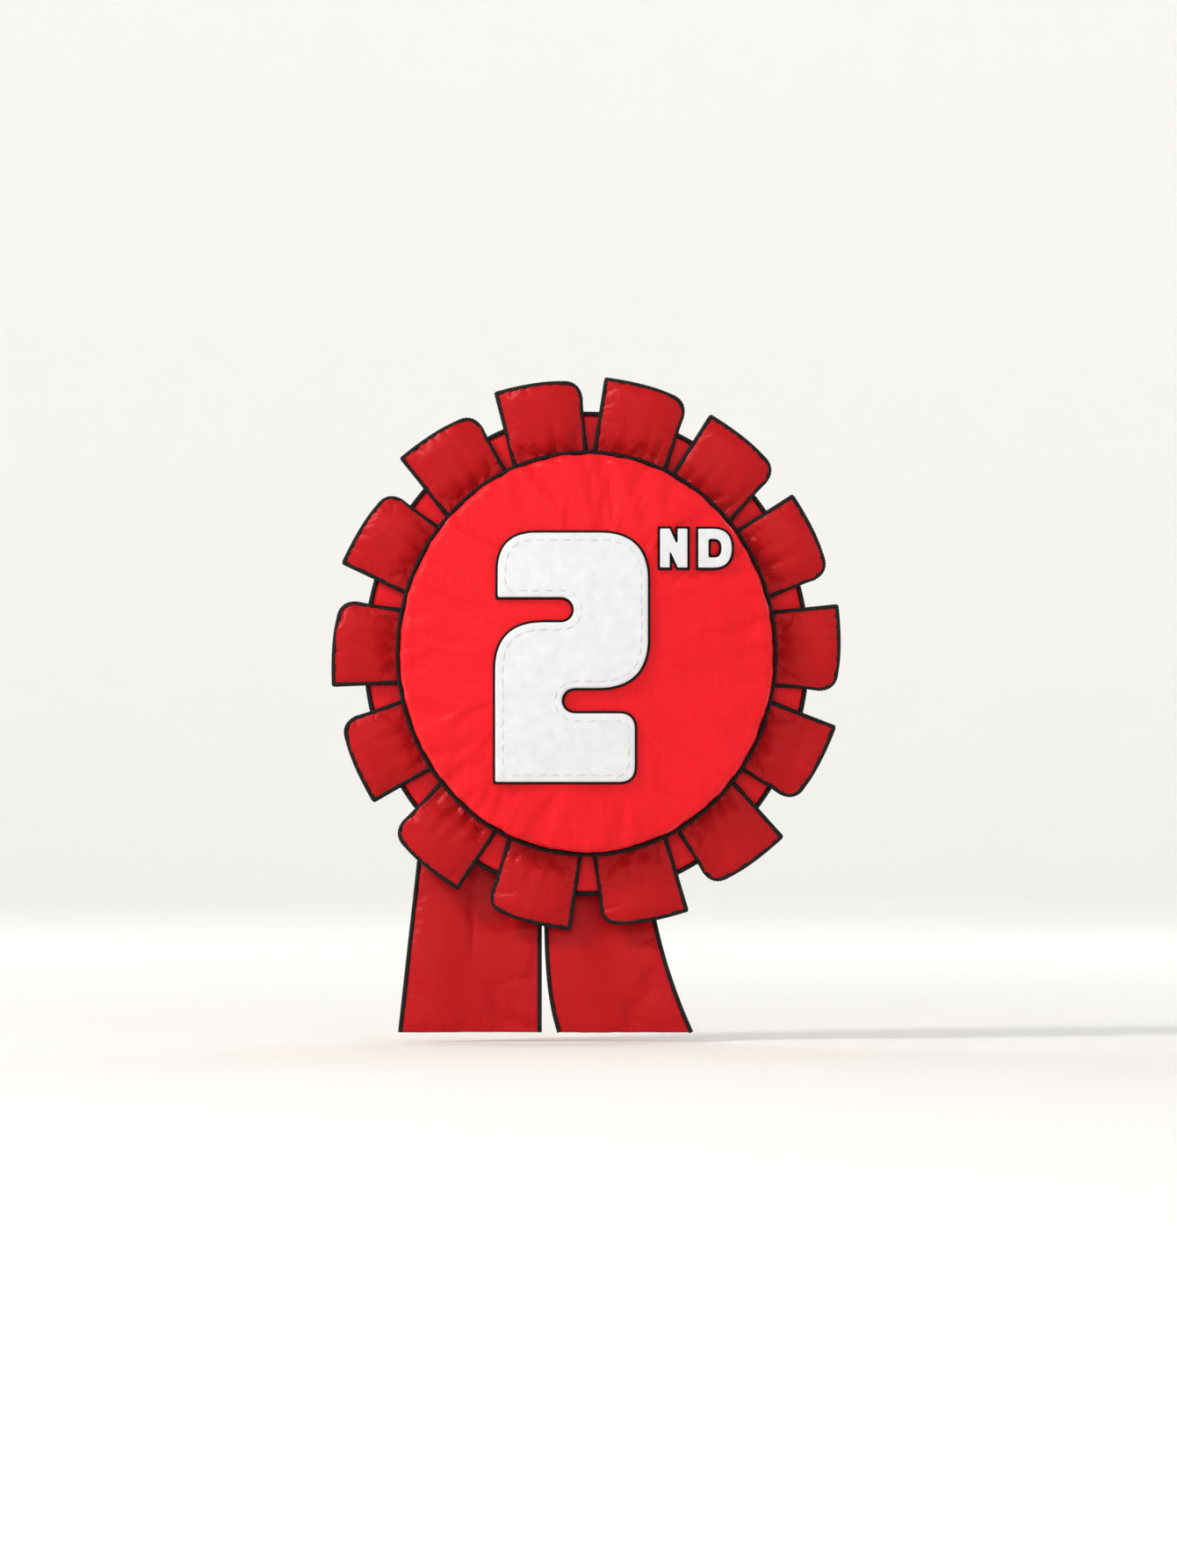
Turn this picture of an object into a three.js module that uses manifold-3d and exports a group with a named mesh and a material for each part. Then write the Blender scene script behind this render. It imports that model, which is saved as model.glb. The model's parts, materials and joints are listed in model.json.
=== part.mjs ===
// Second-place award rosette: a padded button, a ring of ribbon petals, two tails and a bar pin.
// Millimetres. +Z is up, the front faces -Y, and the origin is the centre of the back card's rear
// face. Every piece is drawn as it is seen from the front: x to the right, y up, and z the height
// in front of the back card's rear face. The rosette group at the end stands that drawing upright.

import * as THREE from "three";
import { mergeVertices } from "three/addons/utils/BufferGeometryUtils.js";
import Module from "manifold-3d";

const wasm = await Module();
wasm.setup();

// Driving dimensions.
const GAP = 0.3; // clearance between neighbouring pieces
const BUTTON_OVAL = 1.065; // height over width of the button and the cards
const RIBBON_OVAL = 1.087; // height over width of the ribbon rings
const BUTTON_RADIUS = 38.1; // half the button's width, over its piping
const PIPING_DIAMETER = 1.1;
const BUTTON_CROWN = 3.0; // rise of the button's face from its shoulder to its middle
const BUTTON_EDGE = 5.4; // height of the button's shoulder above its back
const RIM_GAP = 0.3; // between the cover's side and the piping
const BUTTON_SHOULDER = 1.1; // size of the bend between the button's face and its side
const COVER_TURN_IN = 2.6; // the cover's edge is folded this far behind the button

const PETAL_COUNT = 14;
const PETAL_TIP_RADIUS = 50.3; // half the whole width, at the middle of a petal's end
const PETAL_ROOT_RADIUS = 36.9; // petals are tucked under the button as far as this
const PETAL_HALF_ROOT = 7.7;
const PETAL_HALF_TIP = 8.65;
const PETAL_ROUND = 3.2; // the rounded outer corner
const PETAL_CROWN = 0.9;
const EDGING_WIDTH = 1.05;
const SATIN_RECESS = 0.3; // the edging stands this much above and below its petal
const SPACING_OVAL = 1.07; // the petals are spaced evenly round an oval of this ratio
const HAND_SET_SHIFT = -0.4; // degrees that the whole ring of petals is turned
const HAND_SET_DRIFT = 2.0; // degrees that the petals crowd towards the right
const HAND_SET_PHASE = 20;

const UNDER_RIBBON_RADIUS = 44.6; // outer half width, with its edging
const UNDER_RIBBON_BORE = 30;
const RING_CARD_RADIUS = 41;
const BACK_CARD_RADIUS = 33;
const BACK_CARD_FOOT = -24; // the back card is cut straight here, so that the tails can fold back
const BACK_PLATE_RADIUS = 35;
const GLUE_RADIUS = 16;
const CARD_GLUE = { y: -4, halfWidth: 26, height: 31 }; // the half oval of glue between the cards

const TAIL_THICKNESS = 0.8;
const TAIL_EDGING_WIDTH = 0.95;
const TAIL_EDGING_THICKNESS = 1.2;
const TAIL_TOP_INSET = 0.4; // the stapled stretch is narrower by this at each edge
const TAIL_STAGGER = 0.6; // the right tail lies this much in front of the left one
const TAIL_END = -75.6;
const TAIL_HINGE = -26; // height of the line where the tails bend
const TAIL_TOP = -10; // upper end of the stapled stretch
const TAIL_BEND_ABOVE = 1.0; // free space above the bend
const TAIL_BEND_BELOW = 0.5; // free space below the bend
const LEFT_TAIL = {
  outer: (s) => -32.3 - 5.4 * s,
  inner: () => -8.9,
};
const RIGHT_TAIL = {
  outer: (s) => 12.5 + 8.9 * Math.pow(Math.max(s, 0), 2.3),
  inner: (s) => -8.6 + 2.7 * Math.pow(Math.max(s, 0), 6),
};
const TAIL_STEPS = 10;

const STAPLE_WIRE = 0.5;
const STAPLE_LENGTH = 10.5;
const STAPLE_CLINCH = 3; // length of each bent end
const STAPLE_Y = -19.5;
const LEFT_STAPLE_X = -17.5;
const RIGHT_STAPLE_X = 6;

const PIN_Y = 16; // height of the bar pin above the centre
const PIN_HALF_LENGTH = 16;
const PIN_HALF_WIDTH = 2.6;
const PIN_PLATE = 0.7;
const PIN_HOLE_X = 6;
const PIN_HOLE_RADIUS = 1;
const PIN_HEIGHT = 4.0; // distance of the stem behind the back card
const PIN_HINGE_X = -13.5;
const PIN_WIRE_RADIUS = 0.42;
const STEM_SHOULDER = 13.4; // the stem tapers from here
const STEM_TIP = 16.4;
const STEM_TIP_RADIUS = 0.12;
const EYE_RADIUS = 1.6;
const EYE_HALF = 0.75;
const RIVET_RADIUS = 0.55;
const RIVET_HEAD_RADIUS = 1.2;
const RIVET_HEAD_THICKNESS = 0.5;
const EAR_RADIUS = 1.7;
const EAR_INNER = 1.2;
const EAR_THICKNESS = 0.6;
const CATCH_START = 12.2;
const CATCH_END = 15.0;
const CATCH_RADIUS = 2.35;
const CATCH_WALL = 0.6;
const CATCH_MOUTH = 0.6; // the housing is open behind this distance from the stem
const CATCH_FOOT_HALF = 1.2;
const SLEEVE_BORE = 0.75;
const SLEEVE_RADIUS = 1.45;
const SLEEVE_SLOT_HALF = 0.65;
const LEVER_LENGTH = 2.6;
const LEVER_WIDTH = 1.6;
const LEVER_THICKNESS = 0.7;
const LEVER_MIDDLE = 2.45; // distance from the stem to the middle of the lever

// Heights of the layers, from the back card forwards.
const BACK_CARD_THICKNESS = 1.5;
const CARD_THICKNESS = 1.5;
const UNDER_RIBBON_THICKNESS = 1.2;
const PETAL_THICKNESS = 2.3;
const LEFT_STAPLE_Z = BACK_CARD_THICKNESS + GAP;
const LEFT_TAIL_Z = LEFT_STAPLE_Z + STAPLE_WIRE + GAP;
const RIGHT_TAIL_Z = LEFT_TAIL_Z + TAIL_STAGGER;
const RIGHT_STAPLE_Z = RIGHT_TAIL_Z - GAP - STAPLE_WIRE;
const RING_CARD_Z = RIGHT_TAIL_Z + TAIL_THICKNESS + GAP;
const UNDER_RIBBON_Z = RING_CARD_Z + CARD_THICKNESS + GAP;
const PETAL_Z = UNDER_RIBBON_Z + UNDER_RIBBON_THICKNESS + GAP;
const BUTTON_Z = PETAL_Z + PETAL_THICKNESS + GAP;
const COVER_RADIUS = BUTTON_RADIUS - PIPING_DIAMETER - RIM_GAP;
const COVER_THICKNESS = 0.6;
const PADDING_THICKNESS = 1.5;
const SHELL_THICKNESS = 0.8;
const NUMERAL_BACKING_THICKNESS = 0.6;
const NUMERAL_FACE_THICKNESS = 0.8;
const NUMERAL_OUTLINE = 0.5; // how far a backing shows round its face
const ROUND_STEPS = 36;

// Lower left corner and size of each letter.
const LETTER_N = { x: 14.6, y: 16.9, width: 5.4, height: 7.7, stroke: 1.9 };
const LETTER_D = { x: 22.2, y: 16.9, width: 6.6, height: 7.7, stroke: 2.0 };

const DARK_RED = "#b81419";
const BRIGHT_RED = "#ed1d26";
const PALE_GREY = "#e6e8ea";
const BLACK = "#0b0b0c";
const CARD_GREY = "#b9b2a6";
const WADDING_WHITE = "#f1efe9";
const GLUE_AMBER = "#d9c9a0";
const NICKEL = "#c9cacb";

const rosette = new THREE.Group();

function addPiece(name, geometry, color, metalness = 0) {
  const material = new THREE.MeshStandardMaterial({
    color,
    metalness,
    roughness: metalness ? 0.28 : 0.7,
  });
  const mesh = new THREE.Mesh(geometry, material);
  mesh.name = name;
  rosette.add(mesh);
  return mesh;
}

// Joining and cutting.

function toSolid(geometry) {
  const bare = geometry.clone();
  bare.deleteAttribute("normal");
  bare.deleteAttribute("uv");
  const merged = mergeVertices(bare, 1e-4);
  return new wasm.Manifold(
    new wasm.Mesh({
      numProp: 3,
      vertProperties: new Float32Array(merged.attributes.position.array),
      triVerts: new Uint32Array(merged.index.array),
    }),
  );
}

function toGeometry(solid) {
  const mesh = solid.getMesh();
  const geometry = new THREE.BufferGeometry();
  geometry.setAttribute("position", new THREE.BufferAttribute(mesh.vertProperties, 3));
  geometry.setIndex(new THREE.BufferAttribute(mesh.triVerts, 1));
  geometry.computeVertexNormals();
  return geometry;
}

function joined(...geometries) {
  return toGeometry(geometries.map(toSolid).reduce((whole, next) => whole.add(next)));
}

function cut(geometry, ...tools) {
  const solid = tools.map(toSolid).reduce((rest, tool) => rest.subtract(tool), toSolid(geometry));
  return toGeometry(solid);
}

// Basic shapes, all in the front view.

function box(x0, x1, y0, y1, z0, z1) {
  const geometry = new THREE.BoxGeometry(x1 - x0, y1 - y0, z1 - z0);
  return geometry.translate((x0 + x1) / 2, (y0 + y1) / 2, (z0 + z1) / 2);
}

function slab(shape, thickness, z = 0, curveSegments = 6) {
  const geometry = new THREE.ExtrudeGeometry(shape, {
    depth: thickness,
    bevelEnabled: false,
    curveSegments,
  });
  return geometry.translate(0, 0, z);
}

// A turned piece about the y axis, from a profile of (radius, height) pairs in either direction.
function lathe(profile, steps) {
  const points = profile.map(([radius, height]) => new THREE.Vector2(radius, height));
  if (THREE.ShapeUtils.area(points) < 0) {
    points.reverse();
  }
  return new THREE.LatheGeometry(points, steps);
}

// A round piece that faces forwards, stretched upwards into an oval.
function turned(profile, oval = 1, steps = ROUND_STEPS) {
  return lathe(profile, steps).rotateX(Math.PI / 2).scale(1, oval, 1);
}

function ringProfile(inner, outer, z0, z1) {
  return [
    [inner, z0],
    [outer, z0],
    [outer, z1],
    [inner, z1],
    [inner, z0],
  ];
}

function discProfile(radius, z0, z1, middle = 0) {
  const rear = middle > 0 ? [[middle, z0]] : [];
  return [[0, z0], ...rear, [radius, z0], [radius, z1], [0, z1]];
}

// The line of points moved sideways by a distance, to the left of its direction.
function shifted(points, by, closed = false) {
  const count = points.length;
  const sideOf = (from, to) => new THREE.Vector2(from.y - to.y, to.x - from.x).normalize();
  return points.map((point, i) => {
    const before = closed || i > 0 ? points[(i + count - 1) % count] : null;
    const after = closed || i < count - 1 ? points[(i + 1) % count] : null;
    const first = before ? sideOf(before, point) : sideOf(point, after);
    const second = after ? sideOf(point, after) : first;
    const middle = first.clone().add(second).normalize();
    return point.clone().addScaledVector(middle, by / middle.dot(first));
  });
}

function distanceToOval(radius, oval, angle) {
  return (radius * oval) / Math.hypot(oval * Math.cos(angle), Math.sin(angle));
}

// The ribbon petals.

function petalBearing(index) {
  const even = (index * 2 * Math.PI) / PETAL_COUNT;
  const onOval = Math.atan2(SPACING_OVAL * Math.sin(even), Math.cos(even));
  const drift = HAND_SET_DRIFT * Math.cos(even + THREE.MathUtils.degToRad(HAND_SET_PHASE));
  return onOval + THREE.MathUtils.degToRad(HAND_SET_SHIFT + drift);
}

// Outline of a petal that points up, from its right root round its tip to its left root.
function petalLine(root, tip) {
  const half = PETAL_HALF_TIP;
  const waist = (PETAL_HALF_ROOT + PETAL_HALF_TIP) / 2 - 0.1;
  const belt = (root + tip) / 2;
  const shape = new THREE.Path();
  shape.moveTo(PETAL_HALF_ROOT, root);
  shape.quadraticCurveTo(waist, belt, half, tip - 0.5 - PETAL_ROUND);
  shape.quadraticCurveTo(half + 0.1, tip - 0.4, half - PETAL_ROUND, tip - 0.1);
  shape.quadraticCurveTo(0, tip + PETAL_CROWN, -half, tip + 0.3);
  shape.quadraticCurveTo(-waist, belt, -PETAL_HALF_ROOT, root);
  return shape.getPoints(4);
}

function buildPetal(index) {
  const bearing = petalBearing(index);
  const root = distanceToOval(PETAL_ROOT_RADIUS, BUTTON_OVAL, bearing);
  const tip = distanceToOval(PETAL_TIP_RADIUS, RIBBON_OVAL, bearing);
  const outside = petalLine(root, tip);
  const edgingInside = shifted(outside, EDGING_WIDTH);
  const satinOutside = shifted(outside, EDGING_WIDTH + GAP);
  const number = String(index + 1).padStart(2, "0");
  const satinThickness = PETAL_THICKNESS - 2 * SATIN_RECESS;
  const satin = slab(new THREE.Shape(satinOutside), satinThickness, PETAL_Z + SATIN_RECESS);
  const band = new THREE.Shape([...outside, ...edgingInside.reverse()]);
  const edging = slab(band, PETAL_THICKNESS, PETAL_Z);
  for (const [name, geometry, color] of [
    [`petal_${number}`, satin, DARK_RED],
    [`petal_edging_${number}`, edging, BLACK],
  ]) {
    addPiece(name, geometry, color).rotation.z = bearing - Math.PI / 2;
  }
}

// The bright ribbon ring under the petals, and the two cards.

function buildUnderRibbon() {
  const z0 = UNDER_RIBBON_Z;
  const z1 = UNDER_RIBBON_Z + UNDER_RIBBON_THICKNESS;
  const outer = UNDER_RIBBON_RADIUS;
  const ribbon = ringProfile(UNDER_RIBBON_BORE, outer - EDGING_WIDTH - GAP, z0, z1);
  const edging = ringProfile(outer - EDGING_WIDTH, outer, z0, z1);
  addPiece("under_ribbon", turned(ribbon, RIBBON_OVAL), BRIGHT_RED);
  addPiece("under_ribbon_edging", turned(edging, RIBBON_OVAL), BLACK);
}

function buildCards() {
  const disc = discProfile(RING_CARD_RADIUS, RING_CARD_Z, RING_CARD_Z + CARD_THICKNESS);
  const whole = turned(disc, BUTTON_OVAL);
  const legHoles = [LEFT_STAPLE_X, RIGHT_STAPLE_X].flatMap((x) => staplePassages(x));
  addPiece("ring_card", cut(whole, ...legHoles), CARD_GREY);

  const back = turned(discProfile(BACK_CARD_RADIUS, 0, BACK_CARD_THICKNESS, 8), BUTTON_OVAL);
  const place = back.attributes.position;
  for (let i = 0; i < place.count; i += 1) {
    place.setY(i, Math.max(place.getY(i), BACK_CARD_FOOT));
  }
  addPiece("back_card", back, CARD_GREY);
}

function buildGluePads() {
  const pad = new THREE.Shape();
  pad.absellipse(0, CARD_GLUE.y, CARD_GLUE.halfWidth, CARD_GLUE.height, 0, Math.PI, false);
  const depth = RING_CARD_Z - GAP - LEFT_STAPLE_Z;
  addPiece("card_glue_pad", slab(pad, depth, LEFT_STAPLE_Z), GLUE_AMBER);
  const dab = discProfile(GLUE_RADIUS, UNDER_RIBBON_Z, UNDER_RIBBON_Z + UNDER_RIBBON_THICKNESS);
  addPiece("button_glue_pad", turned(dab, BUTTON_OVAL, 28), GLUE_AMBER);
}

// The padded button: a pressed shell, wadding and a satin cover, closed by a back plate.

function crownHeight(radius) {
  const share = radius / COVER_RADIUS;
  return BUTTON_Z + BUTTON_EDGE + BUTTON_CROWN * (1 - share * share);
}

// Points of a crowned face from the middle out to a radius, below the cover's face by a depth.
function crownPoints(toRadius, depth, steps = 4) {
  return Array.from({ length: steps + 1 }, (_, i) => {
    const radius = (toRadius * i) / steps;
    return [radius, crownHeight(radius) - depth];
  });
}

function domedShell(radius, outerDepth, innerDepth, foot, turnIn = 0) {
  const wall = innerDepth - outerDepth;
  const shoulder = BUTTON_SHOULDER;
  const outer = crownPoints(radius - shoulder, outerDepth);
  const inner = crownPoints(radius - wall - shoulder * 0.7, innerDepth).reverse();
  const sideTop = crownHeight(radius) - outerDepth - shoulder;
  const bottom = turnIn
    ? [
        [radius - 0.4, foot],
        [radius - turnIn, foot],
        [radius - turnIn, foot + wall],
        [radius - wall, foot + wall],
      ]
    : [
        [radius, foot],
        [radius - wall, foot],
      ];
  const sides = [
    [radius, sideTop],
    ...(turnIn ? [[radius, foot + 0.5]] : []),
    ...bottom,
    [radius - wall, sideTop - wall * 0.5],
  ];
  return turned([...outer, ...sides, ...inner], BUTTON_OVAL);
}

function buildButton() {
  const plate = discProfile(BACK_PLATE_RADIUS, PETAL_Z, PETAL_Z + PETAL_THICKNESS);
  addPiece("button_back_plate", turned(plate, BUTTON_OVAL), CARD_GREY);

  const coverIn = COVER_THICKNESS;
  const cover = domedShell(COVER_RADIUS, 0, coverIn, BUTTON_Z, COVER_TURN_IN);
  addPiece("button_cover", cover, BRIGHT_RED);

  const paddingOut = coverIn + GAP;
  const paddingIn = paddingOut + PADDING_THICKNESS;
  const paddingRadius = COVER_RADIUS - paddingOut;
  const paddingRear = crownPoints(paddingRadius - 0.4, paddingIn).reverse();
  const paddingFront = crownPoints(paddingRadius - BUTTON_SHOULDER, paddingOut);
  const paddingSide = [paddingRadius - 0.2, paddingRear[0][1] + 0.6];
  const padding = turned([...paddingFront, paddingSide, ...paddingRear], BUTTON_OVAL);
  addPiece("button_padding", padding, WADDING_WHITE);

  const shellOut = paddingIn + GAP;
  const shellFoot = BUTTON_Z + COVER_THICKNESS + GAP;
  const shell = domedShell(paddingRadius, shellOut, shellOut + SHELL_THICKNESS, shellFoot);
  addPiece("button_shell", shell, NICKEL, 1);

  const half = PIPING_DIAMETER / 2;
  const middle = BUTTON_RADIUS - half;
  const round = Array.from({ length: 9 }, (_, i) => {
    const angle = (i * Math.PI) / 4;
    return [middle + half * Math.cos(angle), BUTTON_Z + half + half * Math.sin(angle)];
  });
  addPiece("button_piping", turned(round, BUTTON_OVAL), BLACK);
}

// The numeral and the ordinal's letters: plain block characters, drawn to follow the domed face.

// A layer that lies on the cover, between two heights above it.
function faceLayer(low, high) {
  const reach = COVER_RADIUS - 0.4;
  const profile = [...crownPoints(reach, -low), ...crownPoints(reach, -high).reverse()];
  return turned(profile, BUTTON_OVAL);
}

// The figure two from straight bars with rounded corners and two slots, 31 mm wide and 50 mm high.
function figureTwo() {
  const line = new THREE.Path();
  line.moveTo(-18.1, -25.6);
  line.lineTo(6.4, -25.6);
  line.quadraticCurveTo(9.6, -25.6, 9.6, -22.4);
  line.lineTo(9.6, -15.2);
  line.quadraticCurveTo(9.6, -12, 6.4, -12);
  line.lineTo(-2.4, -12);
  line.absarc(-2.4, -9.5, 2.5, -Math.PI / 2, -Math.PI * 1.5, true);
  line.lineTo(2.2, -7);
  line.quadraticCurveTo(12.2, -7, 12.2, 3);
  line.lineTo(12.2, 14.3);
  line.quadraticCurveTo(12.2, 23.8, 2.7, 23.8);
  line.lineTo(-10, 23.8);
  line.quadraticCurveTo(-17.6, 23.8, -17.6, 16.2);
  line.lineTo(-17.6, 11);
  line.lineTo(-5, 11);
  line.absarc(-5, 8.5, 2.5, Math.PI / 2, -Math.PI / 2, true);
  line.lineTo(-8.6, 6);
  line.quadraticCurveTo(-18.1, 6, -18.1, -3.5);
  line.lineTo(-18.1, -25.6);
  return line.getPoints(4).slice(0, -1);
}

function letterN({ x, y, width, height, stroke }) {
  const right = x + width;
  const top = y + height;
  const drop = stroke * 2.2; // height of the diagonal's end
  return [
    [x, y],
    [x + stroke, y],
    [x + stroke, top - drop],
    [right - stroke, y],
    [right, y],
    [right, top],
    [right - stroke, top],
    [right - stroke, y + drop],
    [x + stroke, top],
    [x, top],
  ].map(([px, py]) => new THREE.Vector2(px, py));
}

function letterD({ x, y, width, height }) {
  const belly = width * 0.55;
  const line = new THREE.Path();
  line.moveTo(x, y);
  line.lineTo(x + width - belly, y);
  line.quadraticCurveTo(x + width, y, x + width, y + height / 2);
  line.quadraticCurveTo(x + width, y + height, x + width - belly, y + height);
  line.lineTo(x, y + height);
  return line.getPoints(5);
}

function buildCharacter(name, outline, counter = null) {
  const faceLow = 2 * GAP + NUMERAL_BACKING_THICKNESS;
  const layers = [
    ["backing", NUMERAL_OUTLINE, GAP, GAP + NUMERAL_BACKING_THICKNESS, BLACK],
    ["face", 0, faceLow, faceLow + NUMERAL_FACE_THICKNESS, PALE_GREY],
  ];
  for (const [layer, grow, low, high, color] of layers) {
    const shape = new THREE.Shape(shifted(outline, -grow, true));
    if (counter) {
      shape.holes.push(new THREE.Path(shifted(counter, grow, true).reverse()));
    }
    const prism = slab(shape, 2 * BUTTON_EDGE + BUTTON_CROWN, BUTTON_Z);
    const piece = toGeometry(toSolid(prism).intersect(toSolid(faceLayer(low, high))));
    addPiece(`${name}_${layer}`, piece, color);
  }
}

function buildCharacters() {
  buildCharacter("numeral_2", figureTwo());
  buildCharacter("letter_n", letterN(LETTER_N));
  const { x, y, width, height, stroke } = LETTER_D;
  const inside = letterD({
    x: x + stroke,
    y: y + stroke,
    width: width - 2 * stroke,
    height: height - 2 * stroke,
  });
  buildCharacter("letter_d", letterD(LETTER_D), inside);
}

// The tails. Each one is stapled between the cards and hangs free below its bend.

function tailShare(y) {
  return (TAIL_HINGE - y) / (TAIL_HINGE - TAIL_END);
}

// The area between two edge curves, from one height down to another.
function tailShape(leftEdge, rightEdge, top, bottom, steps) {
  const heights = Array.from({ length: steps + 1 }, (_, i) => top + ((bottom - top) * i) / steps);
  const left = heights.map((y) => new THREE.Vector2(leftEdge(tailShare(y)), y));
  const right = heights.map((y) => new THREE.Vector2(rightEdge(tailShare(y)), y));
  return new THREE.Shape([...left, ...right.reverse()]);
}

function buildTail(side, tail, z, stapleX) {
  const outward = Math.sign(tail.outer(0) - tail.inner(0));
  const moved = (edge, by) => (s) => edge(s) + outward * by;
  const order = (a, b) => (outward > 0 ? [a, b] : [b, a]);
  const part = (inner, outer, top, bottom, thickness, steps) => {
    const lift = z + (TAIL_THICKNESS - thickness) / 2;
    return slab(tailShape(...order(inner, outer), top, bottom, steps), thickness, lift);
  };
  const below = TAIL_HINGE - TAIL_BEND_BELOW;
  const width = TAIL_EDGING_WIDTH;
  const top = part(
    moved(tail.inner, TAIL_TOP_INSET),
    moved(tail.outer, -TAIL_TOP_INSET),
    TAIL_TOP,
    TAIL_HINGE + TAIL_BEND_ABOVE,
    TAIL_THICKNESS,
    1,
  );
  addPiece(`tail_${side}_top`, cut(top, ...staplePassages(stapleX)), DARK_RED);
  const cloth = part(
    moved(tail.inner, width + GAP),
    moved(tail.outer, -width - GAP),
    below,
    TAIL_END,
    TAIL_THICKNESS,
    TAIL_STEPS,
  );
  addPiece(`tail_${side}`, cloth, DARK_RED);
  const edging = (from, to) => part(from, to, below, TAIL_END, TAIL_EDGING_THICKNESS, TAIL_STEPS);
  addPiece(`tail_${side}_inner_edging`, edging(tail.inner, moved(tail.inner, width)), BLACK);
  addPiece(`tail_${side}_outer_edging`, edging(moved(tail.outer, -width), tail.outer), BLACK);
}

// Staples: a flat crown behind the tail, two legs through it and the ring card, and bent ends.

function staplePassages(x) {
  const reach = STAPLE_WIRE / 2 + GAP;
  return [-1, 1].map((side) => {
    const leg = x + (side * (STAPLE_LENGTH - STAPLE_WIRE)) / 2;
    return box(leg - reach, leg + reach, STAPLE_Y - reach, STAPLE_Y + reach, 0, UNDER_RIBBON_Z);
  });
}

function buildStaple(side, x, z) {
  const half = STAPLE_LENGTH / 2;
  const end = UNDER_RIBBON_Z + STAPLE_WIRE;
  const inside = half - STAPLE_WIRE;
  const points = [
    [-half, z],
    [half, z],
    [half, end],
    [half - STAPLE_CLINCH, end],
    [half - STAPLE_CLINCH, UNDER_RIBBON_Z],
    [inside, UNDER_RIBBON_Z],
    [inside, z + STAPLE_WIRE],
    [-inside, z + STAPLE_WIRE],
    [-inside, UNDER_RIBBON_Z],
    [STAPLE_CLINCH - half, UNDER_RIBBON_Z],
    [STAPLE_CLINCH - half, end],
    [-half, end],
  ];
  const shape = new THREE.Shape(points.map(([px, py]) => new THREE.Vector2(px, py)));
  const wire = slab(shape, STAPLE_WIRE, -STAPLE_WIRE / 2).rotateX(Math.PI / 2);
  const staple = addPiece(`tail_${side}_staple`, wire, NICKEL, 1);
  staple.position.set(x, STAPLE_Y, 0);
}

// The bar pin, behind the back card.

// A slab whose outline lies in the x-z plane, with the shape's y counted forwards.
function upright(shape, thickness, y, curveSegments = 6) {
  const geometry = slab(shape, thickness, 0, curveSegments);
  return geometry.rotateX(Math.PI / 2).translate(0, y + thickness, 0);
}

function buildPinBase() {
  const plate = new THREE.Shape();
  const r = PIN_HALF_WIDTH;
  plate.absarc(PIN_HALF_LENGTH - r, PIN_Y, r, -Math.PI / 2, Math.PI / 2, false);
  plate.absarc(r - PIN_HALF_LENGTH, PIN_Y, r, Math.PI / 2, Math.PI * 1.5, false);
  for (const x of [-PIN_HOLE_X, PIN_HOLE_X]) {
    const hole = new THREE.Path();
    hole.absarc(x, PIN_Y, PIN_HOLE_RADIUS, 0, 2 * Math.PI, true);
    plate.holes.push(hole);
  }
  const base = slab(plate, PIN_PLATE, -GAP - PIN_PLATE);
  const ear = new THREE.Shape();
  const earFoot = 0.1 - GAP - PIN_PLATE; // sunk a little into the plate
  ear.moveTo(PIN_HINGE_X - EAR_RADIUS, earFoot);
  ear.lineTo(PIN_HINGE_X - EAR_RADIUS, -PIN_HEIGHT);
  ear.absarc(PIN_HINGE_X, -PIN_HEIGHT, EAR_RADIUS, Math.PI, 2 * Math.PI, false);
  ear.lineTo(PIN_HINGE_X + EAR_RADIUS, earFoot);
  const bore = new THREE.Path();
  bore.absarc(PIN_HINGE_X, -PIN_HEIGHT, RIVET_RADIUS + GAP, 0, 2 * Math.PI, true);
  ear.holes.push(bore);
  const upper = upright(ear, EAR_THICKNESS, PIN_Y + EAR_INNER);
  const lower = upright(ear, EAR_THICKNESS, PIN_Y - EAR_INNER - EAR_THICKNESS);
  addPiece("pin_base", joined(base, upper, lower), NICKEL, 1);
}

// A tube or rod along x whose middle line is the stem's, from a profile of (radius, x) pairs.
function alongStem(profile, steps = 16) {
  return lathe(profile, steps).rotateZ(-Math.PI / 2).translate(0, PIN_Y, -PIN_HEIGHT);
}

// A box between two ends of the catch, level with the pin; its heights are counted from the stem.
function catchBox(halfWidth, from, to, beyond = 0) {
  const start = CATCH_START - beyond;
  const end = CATCH_END + beyond;
  return box(start, end, PIN_Y - halfWidth, PIN_Y + halfWidth, from - PIN_HEIGHT, to - PIN_HEIGHT);
}

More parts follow.
